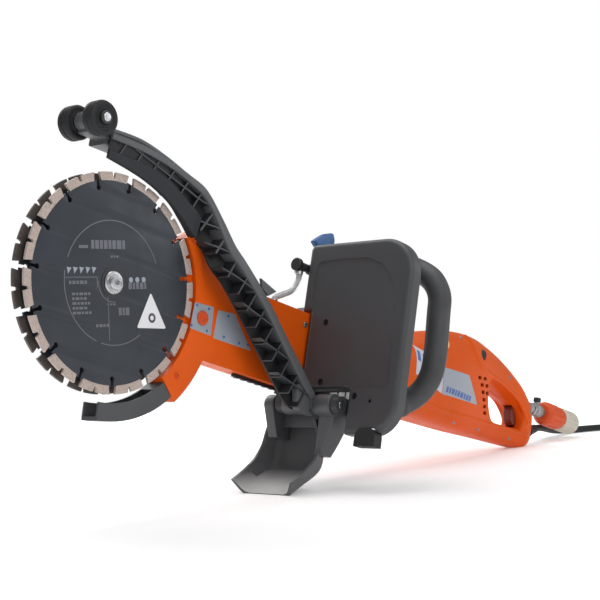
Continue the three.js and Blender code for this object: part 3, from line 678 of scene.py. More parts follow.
# Rows of short bars of mixed length, as blurred print: x, z, height, lengths.
PRINT_ROWS = [
    (-52, 22, 3.0, (12,)), (-36, 26, 9.0, (4, 5, 4, 5, 4, 5, 6, 4)), (-56, -17, 3.4, (3, 4, 3, 5, 3)),
    (-50, -27, 2.6, (4, 3, 5, 4, 3)), (-48.6, -31.6, 2.6, (3, 5, 3, 4)),
    (-47.2, -36.2, 2.6, (5, 3, 4, 3, 3)), (-45.8, -40.8, 2.6, (3, 3, 5, 4)),
    (-44.4, -45.4, 2.6, (4, 5, 3, 4, 3)), (-12, -50.5, 3.0, (3, 4, 3, 3)), (22, -1.0, 7.0, (5, 3, 4, 5, 3)),
    (15, -31.0, 8.0, (4, 3, 5)), (-9, 24.5, 2.0, (3, 2, 3)), (-3, -25, 1.8, (3, 3, 3)),
]


def in_slot(angle, u, v):
    """A point u out and v aside of the ray at an angle."""
    a = math.radians(angle)
    return (u * math.cos(a) - v * math.sin(a), u * math.sin(a) + v * math.cos(a))


def core_outline():
    outline = []
    enter = math.degrees(math.asin(SLOT_HALF / SLOT_HOLE_R))
    for angle in sorted(a % 360 for a in SLOTS):
        outline.append(in_slot(angle, CORE_R, -SLOT_HALF))
        for u, v in arc(SLOT_HOLE_AT, 0, SLOT_HOLE_R, -enter, enter - 360, 12):
            outline.append(in_slot(angle, u, v))
        outline.append(in_slot(angle, CORE_R, SLOT_HALF))
        outline += arc(0, 0, CORE_R, angle + 2.0, angle + 22.0, 10)
    return outline


def segment_outline(angle):
    """A rim block between two slots, notched in its middle."""
    start, end, middle = angle + 1.9, angle + 22.1, angle + 12
    sides = ((SEGMENT_R, -2.4), (109.6, -1.3), (109.6, 1.3), (SEGMENT_R, 2.4))
    notch = [in_slot(middle, u, v) for u, v in sides]
    first = arc(0, 0, SEGMENT_R, start, middle - 1.3, 7)
    second = arc(0, 0, SEGMENT_R, middle + 1.3, end, 7)
    return first + notch + second + arc(0, 0, CORE_R - 1, end - 0.8, start + 0.8, 12)


def bar(x, z, length, height, tilt):
    """A printed bar in the plane of the blade, from its left end."""
    a = math.radians(tilt)
    cos, sin = math.cos(a), math.sin(a)
    corners = ((0, 0), (length, 0), (length, height), (0, height))
    return [(x + u * cos - v * sin, z + u * sin + v * cos) for u, v in corners]


def print_ring(r, width, start, end, low, high):
    steps = max(6, int((end - start) / 5))
    inner, outer = r - width / 2, r + width / 2
    return plate(arc(0, 0, outer, start, end, steps) + arc(0, 0, inner, end, start, steps), low, high)


def blade_print(name, blade_name, side):
    """Abstract print on a blade's outer face: arcs, bars and a plain pale triangle."""
    face = side * (BLADE_OFFSET + CORE_HALF)
    low, high = sorted((face - side * 0.05, face + side * 0.12))
    rings = [(64.6, 1.0, 34, 172), (64.6, 1.0, 184, 262), (64.6, 1.0, 268, 318), (20, 0.8, 190, 292)]
    shapes = [print_ring(*ring, low, high) for ring in rings]
    lines = [(9.0, -59, 45, 0.9, 90 + PRINT_TILT), (-62, -12, 42, 0.8, PRINT_TILT)]
    lines.append((-22.5, -1.0, 10, 0.8, PRINT_TILT - 90))
    a = math.radians(PRINT_TILT)
    for x, z, height, lengths in PRINT_ROWS:
        for length in lengths:
            lines.append((x, z, length, height, PRINT_TILT))
            x += (length + 1.3) * math.cos(a)
            z += (length + 1.3) * math.sin(a)
    shapes += [plate(bar(*line), low, high) for line in lines]
    marks = []
    for i in range(5):
        x, z = -60 + i * 8.2 * math.cos(a), -3.5 + i * 8.2 * math.sin(a)
        marks.append(plate([(x - 2.9, z + 2.6), (x + 0.4, z - 3.6), (x + 3.2, z + 3.4)], low, high))
    for i in range(3):
        marks.append(plate(arc(23 + i * 8.6, 9.5 + i * 2.5, 2.9, 0, 330, 11), low, high))
    triangle = plate(eased(((53, 4), (42, -37.5), (83, -28)), 3.0), low, high + 0.02 * (side > 0))
    ring, hole = arc(60.6, -22, 5.2, 0, 350, 35), arc(60.6, -22, 2.6, 0, 345, 23)
    circle = plate(ring, low - 0.06, high + 0.06, 0, [hole])
    whole = merged([
        merged(shapes, PRINT),
        merged(marks, LABEL),
        coated(triangle, PRINT_LIGHT),
        coated(circle, DARK),
    ])
    finish(whole, name, None, "blade_steel", [blade_name], "blades")


def blade(name, side, segment_material):
    y = side * BLADE_OFFSET
    bore = arc(0, 0, 11.5, 0, 354, 59)
    core = plate(core_outline(), y - CORE_HALF, y + CORE_HALF, 0.25, [bore])
    finish(core, name + "_core", CORE_STEEL, "blade_steel", [name], "blades")
    blocks = [plate(segment_outline(a), y - SEGMENT_HALF, y + SEGMENT_HALF, 0.3) for a in SLOTS]
    finish(merged(blocks), name + "_segments", segment_material, "blade_steel", [name], "blades", 40)


def blade_bolt(name, side):
    profile = [(0, 2), (4, 2), (4, 10.4), (12, 10.4), (12.2, 11.4), (11.4, 12.4), (8.6, 12.6)]
    profile += [(8.2, 13.4), (8.2, 15.6), (7.4, 16.8), (6.6, 17), (5.6, 16.9), (5.2, 16.2), (0, 16.2)]
    flange = [(12.6, 10.1), (16, 10.1), (16, 10.5), (12.6, 10.5), (12.6, 10.1)]
    body, washer = (lathe([(r, side * h) for r, h in part], "y") for part in (profile, flange))
    cut(body, rod(3.6, side * 13.4, side * 17.4, "y", segments=6))
    whole = merged([coated(body, STEEL), coated(washer, DARK_METAL)])
    finish(whole, name + "_head", None, "steel", [name], "blades")


def blades():
    ends = (("near", -1), ("far", 1))
    for end, side in ends:
        # The far blade's segments are darkened as painted shade.
        blade("blade_" + end, side, SEGMENT if side < 0 else SEGMENT_FAR_SHADED)
    for end, side in ends:
        blade_print("print_" + end, "blade_" + end, side)
    for end, side in ends:
        blade_bolt("blade_bolt_" + end, side)


# ---------------------------------------------------------------- arm
ARC_FACE, ARM_FACE = 12.5, 11
ARC_LABEL = [(116.5, 10.4), (146.3, 12.6), (148.6, -19.9), (115.2, -19.2)]
ARM_LABEL = [(154.7, 11.5), (182, 14), (217, -20.6), (153.6, -20.9)]
ARC_DOTS = [(120, 8), (116.6, -15.6), (141, -16), (139, 8.5)]
ARM_DOTS = [(172, 9), (170, -15.6), (195.5, -16.4), (210, -15)]


def label(outline, face, side):
    low, high = sorted((side * (face - 0.2), side * (face + 0.25)))
    return coated(plate(eased(outline, 2), low, high, 0.1), LABEL)


def dots(places, face, side):
    low, high = sorted((side * face, side * (face + 0.35)))
    return [coated(plate(arc(x, z, 1.6, 0, 340, 17), low, high), LABEL_BLUE) for x, z in places]


def arm_details():
    for side, name in ((-1, "near"), (1, "far")):
        parts = [label(ARC_LABEL, ARC_FACE, side), label(ARM_LABEL, ARM_FACE, side)]
        parts += dots(ARC_DOTS, ARC_FACE, side) + dots(ARM_DOTS, ARM_FACE, side)
        for x, z in ((101, 74), (107, -74)):
            parts.append(cap_screw(x, side * 12.4, z, 3.0, "y", side, ORANGE_DEEP))
        if side < 0:
            parts += [cap_screw(x, -ARM_FACE, z, 3.4) for x, z in ((198, 32), (302, 32), (302, -32))]
        finish(merged(parts), "arm_marks_" + name, None, "orange_paint")
    profile = [(0, -12.3), (8, -12.3), (8, -14.4), (7, -15.2), (4.2, -15.2), (3.8, -14.5), (0, -14.5)]
    disc = cut(lathe(profile, "y", (131, 0, -4), 36), box(125.5, 136.5, -16, -14.9, -4.8, -3.2))
    finish(disc, "arc_screw_head", RED_ORANGE, "screw_red", ["arc_screw"])
    screws = [cap_screw(x, ARM_FACE, z, 3.2, "y", 1) for x in (196, 250, 304) for z in (-32, 32)]
    finish(merged(screws), "cover_screws", None, "steel")
    teeth = []
    for x in range(208, 281, 12):
        teeth.append(plate([(x, -53.6), (x + 5, -53.6), (x + 6, -52.4), (x - 1, -52.4)], -2.4, 2.4, 0.2))
    finish(merged(teeth), "wear_teeth", BLACK, "black_plastic")


# ---------------------------------------------------------------- roller guard
# Stations: outer x, z, inner x, z, near y, far y, rim width, pocket end from the outer edge.
LEG = [
    (-40, 150, -41, 122, -18.5, -14, 7, 19),
    (2, 152, 9, 116.5, -18.5, -14, 8, 20),
    (39, 149, 49, 105, -19, -14, 8, 22),
    (74, 143, 76, 90, -20, -11, 9, 29),
    (104, 134, 95, 77, -22, -9.5, 12, 34),
    (122, 104, 110, 68, -36, -15, 15, 38),
    (136, 79, 117, 48, -46, -26, 15, 33),
    (153, 62, 133, 32, -52, -33, 14, 34),
    (195, 32, 168, 4, -52, -33, 14, 39),
    (238, -5, 213, -35, -52, -33, 14, 39),
    (282, -42, 262, -74, -52, -34, 14, 38),
    (298, -56, 296, -76, -50, -36, 8, 20),
]
Station = namedtuple("Station", "x z inner_x inner_z near far rim start")
LEG_STEPS = 6
KNEE = 4
# Where the pocket starts to widen towards the leg's inner edge, and over what length.
WIDENS_AT, WIDENS_OVER = 100, 14
BEAM = [(-40, 154, -41, 138), (0, 156.5, 4, 139), (39, 151, 35, 133), (76, 142, 67, 119)]
AXLE = (-62, 0, 156.5)
HINGE = (300, 0, -66)
RIB_LEANS = (64, -13)
RIB_GAP = 22


def across_edge(station):
    """From a station's outer edge: the point, the way to its inner edge and the distance."""
    outer, inner = Vector(station[0:2]), Vector(station[2:4])
    return outer, (inner - outer).normalized(), (inner - outer).length


def leg_strip(stations, section):
    """Lofts a section, given as pairs of distance from the outer edge and y, along the leg."""
    rings = []
    for station in stations:
        outer, across, width = across_edge(station)
        rings.append(upright(outer, across, section(station, width)))
    return loft(rings)


def rim_section(at, width):
    near, far, rim = at.near, at.far, at.rim
    deep = min(1.0, (far - near) / 14)
    return [
        (rim, far - 1), (rim, near + 1.4 * deep), (rim - 0.7, near + 0.3 * deep), (rim - 1.8, near),
        (rim * 0.38, near + 0.8 * deep), (rim * 0.2, near + 1.8 * deep),
        (rim * 0.07, near + 3.2 * deep), (0, near + 5 * deep), (0, far - 0.8), (0.8, far),
    ]


def skirt_section(at, width):
    near, far, start = at.near, at.far, at.start
    return [
        (start, far), (start, near + 1.6), (start + 0.7, near + 0.7), (width - 1.2, near + 0.7),
        (width - 0.3, near + 1.4), (width, near + 2.6), (width, far),
    ]


def pocket_block(at, width, edge, back, front):
    """A section from an edge to the pocket's end, between two depths."""
    # The pocket stops at the skirt above the knee and runs to the leg's edge below it.
    below = min(max((at.x - WIDENS_AT) / WIDENS_OVER, 0), 1)
    end = at.start * (1 - below) + (width - 0.3) * below
    return [(edge, back), (edge, front), (end, front), (end, back)]


def floor_section(at, width):
    thick = min(2.4, (at.far - at.near) * 0.3)
    return pocket_block(at, width, at.rim - 1, at.far, at.far - thick)


def rib_section(at, width):
    return pocket_block(at, width, at.rim - 0.5, at.far - 1, at.near + 1.9)


def edge_highlight_section(at, width):
    """The near edges of the ribs, coloured lighter than the ribs as a painted highlight."""
    return pocket_block(at, width, at.rim - 0.5, at.near + 2.3, at.near + 1.6)


def diamond_ribs(stations, lean, half, section):
    """One family of parallel ribs, held inside the leg's pocket."""
    a = math.radians(lean)
    along = Vector((math.cos(a), math.sin(a)))
    aside = Vector((-along.y, along.x))
    bars = []
    for i in range(-12, 13):
        at = Vector((150, 40)) + aside * RIB_GAP * i
        corners = ((-300, -half), (300, -half), (300, half), (-300, half))
        bars.append(plate([tuple(at + along * u + aside * v) for u, v in corners], -62, 0))
    return boolean(merged(bars), leg_strip(stations, section), "INTERSECT")


def guard_beam():
    """The beam over the blades; its core stops behind the leg's pocket, its top plate does not."""
    core, top = [], []
    for station in spline(BEAM, LEG_STEPS):
        outer, across, width = across_edge(station)
        core.append(upright(outer, across, rounded_rect(0, width, -9, 18.5, 3.6)))
        top.append(upright(outer, across, rounded_rect(0, 4, -18.4, 18.4, 1.8)))
    return merged([loft(core), loft(top)])


def roller_guard():
    stations = [Station(*numbers) for numbers in spline(LEG, LEG_STEPS)]
    rim = [leg_strip(stations, rim_section), guard_beam()]
    skirt = leg_strip(stations[: KNEE * LEG_STEPS + 1], skirt_section)
    pocket = leg_strip(stations, floor_section)
    # The strips on the ribs' near edges carry a painted highlight.
    ribs, edge_highlights = [], []
    for lean in RIB_LEANS:
        ribs.append(diamond_ribs(stations, lean, 0.8, rib_section))
        edge_highlights.append(diamond_ribs(stations, lean, 0.85, edge_highlight_section))
    boss = [(4.3, -10.5), (9, -10.5), (10, -9.5), (10, 9.5), (9, 10.5), (4.3, 10.5), (4.3, -10.5)]
    sleeve = [(5.3, -50), (10, -50), (11, -49), (11, -2.6), (10, -1.4), (5.3, -1.4), (5.3, -50)]
    fittings = [
        rounded(box(-64, -36, -10.5, 10.5, 143, 153), 1.5, 3),
        lathe(boss, "y", AXLE, 36),
        lathe(sleeve, "y", HINGE, 36),
        plate([(176, 52), (204, 44), (192, 36), (180, 42)], -50, -46, 0.8),
        plate(eased([(262, -48), (296, -52), (298, -80), (270, -78)], 4), -48, -38, 1.2),
    ]
    # The pocket floor and the ribs are coloured darker as painted shade.
    whole = merged([
        merged(rim + fittings, GUARD),
        coated(skirt, GUARD_SKIRT),
        coated(pocket, GUARD_POCKET_SHADE),
        merged(ribs, GUARD_RIB_SHADE),
        merged(edge_highlights, GUARD_EDGE_HIGHLIGHT),
    ])
    finish(whole, "roller_guard_frame", None, "dark_plastic", ["roller_guard"], "guard", 38)


def roller(end, y):
    profile = [(4.6, 1.5), (7.5, 1.5), (8, 0.4), (10, 0), (11, 1.4), (12.6, 1.6), (14, 0.4), (16, 0)]
    profile += [(17.6, 0.7), (18.5, 2.5), (18.5, 6.6), (17.9, 7.2), (17.9, 8.8), (18.5, 9.4), (18.5, 13.5)]
    profile += [(17.6, 15.3), (16, 16), (14, 15.6), (12.6, 14.4), (11, 14.6), (10, 16), (8, 15.6)]
    profile += [(7.5, 14.5), (4.6, 14.5), (4.6, 1.5)]
    wheel = lathe(profile, "y", (AXLE[0], y, AXLE[2]), 64)
    name = "guard_roller_" + end
    finish(wheel, name + "_wheel", TYRE, "black_plastic", [name], "roller_" + end)


def guard_axle():
    profile = [(0, -31), (5.2, -31), (6.4, -30.6), (7, -29.8), (7, -28.6), (4, -28.5), (4, 28.5)]
    profile += [(7, 28.6), (7, 29.8), (6.4, 30.6), (5.2, 31), (0, 31)]
    parts = [coated(lathe(profile, "y", AXLE, 40), DARK_METAL)]
    for side in (-1, 1):
        dome = [(0, side * 30), (4.6, side * 30), (4.6, side * 31.2), (3.8, side * 31.8), (0, side * 32)]
        parts.append(coated(lathe(dome, "y", AXLE, 32), STEEL))
    finish(merged(parts), "guard_axle_bolt", None, "steel", ["guard_axle"], "guard")


def guard():
    roller_guard()
    guard_axle()
    roller("near", -27.5)
    roller("far", 11.5)


# ---------------------------------------------------------------- splash panel and front handle
PANEL_X0, PANEL_X1 = 305, 323
PANEL_BACK = PANEL_X0 + 4.6
PANEL_HOLES = [(-39, 35, 4.0), (-43, -37, 4.0), (-97.5, -54, 4.0), (-121, -60, 2.2)]
PANEL_FACE = [
    (-17, 108), (-22, 111), (-57, 112.5), (-92, 111.5), (-112, 104), (-127, 90), (-136, 72),
    (-140, 50), (-142.5, 15), (-144, -41), (-143, -44.5), (-139, -45.5), (-90, -45.5),
    (-86, -44), (-82, -42), (-20.5, -42), (-17, -38), (-16.5, 46), (-14, 56), (-14.5, 100),
]
BOW_ROUTE = [
    (PANEL_BACK, -78, 112), (328, -78, 112), (348, -81, 117), (372, -92, 121), (385, -109, 116),
    (386, -129, 103), (386, -141, 84), (386, -143, 60), (386, -145, 12), (386, -142, -13),
    (384, -131, -33), (374, -117, -48), (350, -112, -57), (328, -110, -58), (PANEL_BACK, -110, -58),
]
BOW_R = 13.3
BOW_SIDES = 36


def panel_outline(inset):
    low = -87 - inset
    return [
        *arc(-120, -60, 38 - inset, 180, 270, 12), (low, -98 + inset), (low, -46 + inset),
        (-13 - inset, -46 + inset), (-13 - inset, 50 + inset), (-inset, 50 + inset),
        *arc(-8, 126, 8 - inset, 0, 90, 6), *arc(-112, 88, 46 - inset, 90, 180, 14),
    ]


def foot_outline(grow):
    corners = [(-136 - grow, -112 - grow), (-107 + grow, -112 - grow)]
    return corners + arc(-115, -99, 8 + grow, 0, 90, 6) + arc(-128, -99, 8 + grow, 90, 180, 6)


def splash_panel():
    shell = plate(panel_outline(0), PANEL_X0, PANEL_X1 + 30, 6.5, steps=6, plane="yz")
    cut(shell, box(PANEL_X1, PANEL_X1 + 60, -200, 50, -200, 200))
    cut(shell, plate(panel_outline(4), PANEL_X0 + 4.5, PANEL_X1 + 5, 1.0, plane="yz"))
    cut(shell, plate(foot_outline(0.4), PANEL_X0 - 1, 318, plane="yz"))
    cut(shell, plate(PANEL_FACE, PANEL_X0 - 2, PANEL_X0 + 1.5, 0.7, steps=3, plane="yz"))
    floors = []
    for y, z, r in PANEL_HOLES:
        at = (0, y, z)
        cut(shell, rod(r, PANEL_X0 - 5, PANEL_X0 + 3.4, "x", at, 28))
        floors.append(rod(r + 0.1, PANEL_X0 + 3.2, PANEL_X0 + 3.5, "x", at, 28))
    # The hole floors are painted shade.
    finish(merged(floors), "panel_hole_floors", HOLE, "dark_plastic")
    finish(shell, "splash_panel_shell", DARK_PANEL, "dark_plastic", ["splash_panel"], sharp=35)
    ribs = [box(PANEL_BACK, PANEL_X1 - 2, y - 1.2, y + 1.2, 54, 126) for y in (-40, -66)]
    ribs += [box(PANEL_BACK, PANEL_X1 - 3, -150, -38.6, z - 1.2, z + 1.2) for z in (-20, 20)]
    finish(merged([rounded(rib, 0.5) for rib in ribs]), "panel_ribs", DARK_PANEL, "dark_plastic")


def bow_section(share):
    """A round section with a fine raised seam front and back, and a collar near each end."""
    collar = 1.4 if min(abs(share - 0.22), abs(share - 0.80)) < 0.008 else 0.0
    r = BOW_R + 0.7 * math.sin(math.pi * share) ** 2 + collar
    seams = (0, BOW_SIDES // 2)
    return [(2 * math.pi * i / BOW_SIDES, r + 0.5 * (i in seams)) for i in range(BOW_SIDES)]


def front_handle():
    grip = swept(spline(BOW_ROUTE, 7), bow_section, Vector((0, 0, 1)))
    finish(grip, "front_grip", GRIP, "handle_rubber", ["front_handle"], sharp=50)
    x = PANEL_BACK
    profile = [(0, x), (18, x), (18.5, x + 3), (17, 322), (15, 328), (0, 328)]
    flanges = [lathe(profile, "x", (0, y, z), 40) for y, z in ((-78, 112), (-110, -58))]
    finish(merged(flanges), "grip_flanges", BLACK, "black_plastic")


# ---------------------------------------------------------------- body
# Stations along the body: x, top, bottom, half width.
BODY = [
    (436, 56, -37, 41), (496, 59, -36, 44), (513, 68, -36, 45), (530, 80, -35.5, 45),
    (560, 90, -35, 45), (600, 98, -34, 43), (640, 100.5, -33, 38), (680, 97, -31, 30),
    (720, 90, -29.5, 23), (755, 79, -28, 20), (785, 65.5, -26.5, 19), (806, 50, -24, 18.5),
    (818, 36, -17, 15), (823, 24, -6, 9),
]
BODY_STATIONS = spline(BODY, 5)
OVAL = 3.4
OVAL_SIDES = 96
# How deep the groove between the shells is, and how far it reaches to each side.
GROOVE = 0.7
# The handle's opening, and how far its edge flares out on the way through the body's skin.
HANDLE_HOLE = [
    (691, 5), (681, 20), (680.5, 38), (689, 45), (712, 44.5), (740, 39.5), (772, 31), (785, 17),
    (784.5, 4), (774, -2), (744, -2.2), (706, -2.8),
]
HOLE_FLARE = [(-16, 0), (-11, 0.8), (-7, 2.0), (-3.5, 4.0), (-1, 6.4), (0.6, 8.6), (2.5, 12)]
FLARE_SIDES = 0.45
SEAM_BEAD = [
    (604, 93), (612, 87), (621, 74), (640, 59), (673, 54), (709, 52.5), (737, 48), (766, 40),
    (787, 26), (800, 10),
]
LEDGE = [
    (452, -20.5), (472, -19.6), (505, -17.5), (556, -19), (604, -17), (664, -13.6), (727, -8),
    (784, -5.7), (806, -7.5),
]
FRONT_RIM = [(441, -30), (441, 10), (441, 50)]
VENTS = [
    (640, 43), (650, 35), (656, 26), (662, 17), (667, 8.5), (671, 0.5), (658, 45.5), (667, 37.5),
    (671, 28),
]
LOCK_AT = (650, 0, 77)
GROUND_POINT = Vector((790, 0, -26.5))
GROUND_UP = Vector((ALONG.z, 0, UPWARD.z)).normalized()
BODY_SCREWS = [
    (458, 44), (458, -24), (590, 86), (600, -26), (668, -22), (742, 66), (760, -18), (806, 30),
]


def side_y(x, z):
    """Half width of the body's surface at a point of its side view."""
    x = min(max(x, BODY[0][0]), BODY[-1][0])
    spans = zip(BODY_STATIONS, BODY_STATIONS[1:])
    a, b = next((a, b) for a, b in spans if x <= b[0])
    t = (x - a[0]) / (b[0] - a[0])
    top, bottom, half = (p + (q - p) * t for p, q in zip(a[1:], b[1:]))
    share = min(abs(z - (top + bottom) / 2) / ((top - bottom) / 2), 0.995)
    return half * (1 - share**OVAL) ** (1 / OVAL)


def oval_ring(x, top, bottom, half_y):
    mid, half_z = (top + bottom) / 2, (top - bottom) / 2
    out = []
    for i in range(OVAL_SIDES):
        a = (i + 0.5) * 2 * math.pi / OVAL_SIDES
        y, z = (math.copysign(abs(c) ** (2 / OVAL), c) for c in (math.cos(a), math.sin(a)))
        out.append(Vector((x, half_y * y, mid + half_z * z)))
    return out


def grown(loop, amount):
    """A closed loop moved out along its normals, less where they don't look up."""
    out = []
    count = len(loop)
    area = sum(a[0] * b[1] - b[0] * a[1] for a, b in zip(loop, loop[1:] + loop[:1]))
    for i in range(count):
        along = (Vector(loop[(i + 1) % count]) - Vector(loop[i - 1])).normalized()
        normal = Vector((along.y, -along.x)) * math.copysign(1, area)
        reach = amount * (FLARE_SIDES + (1 - FLARE_SIDES) * max(normal.y, 0))
        out.append((loop[i][0] + normal.x * reach, loop[i][1] + normal.y * reach))
    return out


def hole_cutter():
    """The handle's opening, flared where it meets the body's two sides."""
    wrapped = [HANDLE_HOLE[-1], *HANDLE_HOLE, *HANDLE_HOLE[:2]]
    loop = [tuple(p) for p in spline(wrapped)[8 : 8 * (len(HANDLE_HOLE) + 1)]]
    rings = []
    for side, levels in ((-1, HOLE_FLARE[::-1]), (1, HOLE_FLARE)):
        for rise, out in levels:
            ring = grown(loop, out)
            rings.append([Vector((x, side * max(side_y(x, z) + rise, 4), z)) for x, z in ring])
    return loft(rings)


def bead(points, side, lift, radius, sides=16):
    path = [Vector((x, side * (side_y(x, z) + lift), z)) for x, z in spline(points)]
    return tube(path, radius, sides)


def vent_plates(side, grow, inner, outer):
    """Small slots in front of the handle's opening, between two depths from the skin."""
    a, b = 5.6 + grow, 3.1 + grow
    plates = []
    for x, z in VENTS:
        y = side * side_y(x, z)
        corners = [(x - a, z + b * 0.5), (x - a + 1.2, z - b), (x + a, z - b * 0.5), (x + a - 1.2, z + b)]
        low, high = sorted((y + side * inner, y + side * outer))
        plates.append(plate(eased(corners, 0.9, 3), low, high))
    return plates


def ground_block():
    """A block whose top is the plane that the machine stands on."""
    block = box(-800, 800, -800, 800, -100, 0)
    turn = GROUND_UP.to_track_quat("Z", "Y").to_matrix().to_4x4()
    block.data.transform(Matrix.Translation(GROUND_POINT) @ turn)
    return block


def bisected(bm, point, normal, **options):
    geometry = bm.verts[:] + bm.edges[:] + bm.faces[:]
    made = bmesh.ops.bisect_plane(bm, geom=geometry, plane_co=point, plane_no=normal, **options)
    return [e for e in made["geom_cut"] if isinstance(e, bmesh.types.BMEdge)]


def body_whole():
    """Both shells as one skin, cut level with the ground, with a fine V where they part."""
    whole = cut(loft([oval_ring(*station) for station in BODY_STATIONS]), hole_cutter())
    beads = []
    for side in (-1, 1):
        beads.append(bead(SEAM_BEAD, side, -0.2, 3.2))
        beads.append(bead(LEDGE, side, -0.4, 3.3))
        beads.append(bead(FRONT_RIM, side, -0.8, 1.6, 12))
    whole = softened(merged([whole, *beads]), 1.5, 5)
    with editing(whole.data) as bm:
        edges = bisected(bm, GROUND_POINT, GROUND_UP, clear_inner=True)
        bmesh.ops.holes_fill(bm, edges=[e for e in edges if e.is_boundary], sides=0)
        bmesh.ops.recalc_face_normals(bm, faces=bm.faces)
    with editing(whole.data) as bm:
        for y in (-GROOVE, 0, GROOVE):
            bisected(bm, (0, y, 0), (0, 1, 0))
        bm.normal_update()
        for v in bm.verts:
            if abs(v.co.y) < 0.05:
                v.co -= v.normal * GROOVE
    return whole


def body():
    """Makes the two shells and gives back the skin that other pieces follow."""
    whole = body_whole()
    faces = [tuple(f.vertices) for f in whole.data.polygons]
    skin = BVHTree.FromPolygons([v.co.copy() for v in whole.data.vertices], faces)
    cut(whole, rounded(box(770, 812, -7.4, 7.4, 2.5, 38.5), 0.8))
    vents = vent_plates(-1, 0, -5, 6) + vent_plates(1, 0, -5, 6)
    cut(whole, merged([*vents, rod(7.4, -60, -26, "y", LOCK_AT, 36)]))
    copy = linked("work", whole.data.copy())
    for obj, end, side in ((whole, "near", -1), (copy, "far", 1)):
        low, high = sorted((-side * 0.1, -side * 200))
        cut(obj, box(400, 900, low, high, -200, 200))
        finish(obj, "body_" + end, ORANGE_BODY, "orange_plastic", ["body_shell_" + end], sharp=42)
    return skin


def skin_y(skin, side, x, z):
    """How far from the middle plane the finished body's side lies."""
    hit = skin.ray_cast(Vector((x, side * 90, z)), Vector((0, -side, 0)))[0]
    return abs(hit.y) if hit else side_y(x, z)


def surface_patch(skin, corners, side, material, lift, columns=24, rows=12):
    """A label that follows the body's side; corners run top left, top right, low right, low left."""
    a, b, c, d = (Vector(p) for p in corners)
    verts, faces = [], []
    for j in range(rows + 1):
        for i in range(columns + 1):
            s, t = i / columns, j / rows
            p = (a * (1 - s) + b * s) * (1 - t) + (d * (1 - s) + c * s) * t
            verts.append((p.x, side * (skin_y(skin, side, p.x, p.y) + lift), p.y))
            if i < columns and j < rows:
                k = j * (columns + 1) + i
                faces.append((k, k + 1, k + columns + 2, k + columns + 1))
    patch = modified(solid(verts, faces), "SOLIDIFY", thickness=0.3, offset=0)
    return coated(patch, material)


def body_label(skin, side, name):
    """A grey field with abstract blue bars behind the front bow, and a paler one ahead of it."""
    rear = ((545, 35.7), (607.5, 39), (641, 5.3), (548, 0.5))
    front = ((487, 52), (544, 36.5), (547, 0.8), (488, 14))
    parts = [
        surface_patch(skin, rear, side, LABEL, 0.1),
        surface_patch(skin, front, side, LABEL_PALE, 0.1),
    ]
    for i in range(5):
        x, top = 490 + i * 10, 46 - i * 3
        corners = ((x, top), (x + 5.4, top - 1.6), (x + 6.4, top - 15), (x, top - 13))
        parts.append(surface_patch(skin, corners, side, LABEL_BLUE, 0.28, 4, 6))
    x = 555
    lean, low, high = 1.4, 5.0, 12.6
    for width in (5, 4, 6, 4, 5, 7, 4, 6, 5):
        corners = ((x + lean, high), (x + width + lean, high), (x + width, low), (x, low))
        parts.append(surface_patch(skin, corners, side, LABEL_BLUE, 0.28, 3, 4))
        x += width + 2.2
    finish(merged(parts), name, None, "orange_plastic", sharp=60)


def body_fittings(skin):
    profile = [(0, 1.0), (11, 1.0), (11, -0.8), (10.2, -1.7), (9, -2.4), (6.5, -3.2), (3.5, -3.8), (0, -4)]
    dome = lathe(profile, "y", segments=44)
    lean = Matrix.Rotation(math.radians(-25), 4, "X")
    dome.data.transform(Matrix.Translation((546.5, -38.6, 71)) @ lean)
    finish(dome, "indicator_dome", PALE_ORANGE, "cream_plastic", ["indicator_cap"])
    screws = []
    for x, z in BODY_SCREWS:
        for side in (-1, 1):
            y = side * (skin_y(skin, side, x, z) - 1.0)
            screws.append(cap_screw(x, y, z, 2.9, "y", side))
    finish(merged(screws), "body_screws", None, "steel")
    outline = eased([(789, 36), (777, 34), (773, 24), (775, 12), (781, 5), (789, 5)], 2.5, 4)
    lever = plate(outline, -6.8, 6.8, 1.4, steps=3)
    finish(lever, "trigger_lever_shell", TRIGGER, "black_plastic", ["trigger"], "trigger_lever")
    profile = [(0, -34.6), (4.4, -34.4), (6.0, -33.7), (6.8, -32.4), (6.8, -16), (0, -16)]
    ring = [(3.0, -35), (4.0, -35), (4.0, -33.8), (3.0, -33.8), (3.0, -35)]
    button = cut(lathe(profile, "y", LOCK_AT, 40), lathe(ring, "y", LOCK_AT, 32))
    finish(button, "lock_button_cap", BLACK, "black_plastic", ["lock_button"], "lock")


def vent_floors():
    # Near-black sheets behind the vent slots, as painted shade.
    floors = vent_plates(-1, 0.4, -5.2, -4.2) + vent_plates(1, 0.4, -5.2, -4.2)
    finish(merged(floors), "vent_floors", HOLE, "black_plastic")


# ---------------------------------------------------------------- gear housing
def gear_details():
    ribs = []
    for x in (346, 360, 388, 402, 416):
        for y0, y1, z0, z1 in ((-41.2, -39.4, -44, 48), (39.4, 41.2, -44, 48), (-26, 26, 61.4, 63.6)):
            ribs.append(rounded(box(x - 1.3, x + 1.3, y0, y1, z0, z1), 0.4))
    parts = [merged(ribs, CAST)]
    profile = [(0, 39.5), (15, 39.5), (15, 41.8), (13.6, 42.8), (5, 42.8), (4.4, 42.2), (0, 42.2)]
    for side in (-1, 1):
        parts.append(coated(lathe([(r, side * h) for r, h in profile], "y", (372, 0, 16)), CAST))
        for x, z in arc(372, 16, 24, 45, 315, 3):
            parts.append(cap_screw(x, side * 40, z, 2.8, "y", side))
    parts += [cap_screw(433, y, z, 3, "x", 1) for z in (-46, 50) for y in (-29, 29)]
    finish(merged(parts), "gear_ribs", None, "cast_alloy")


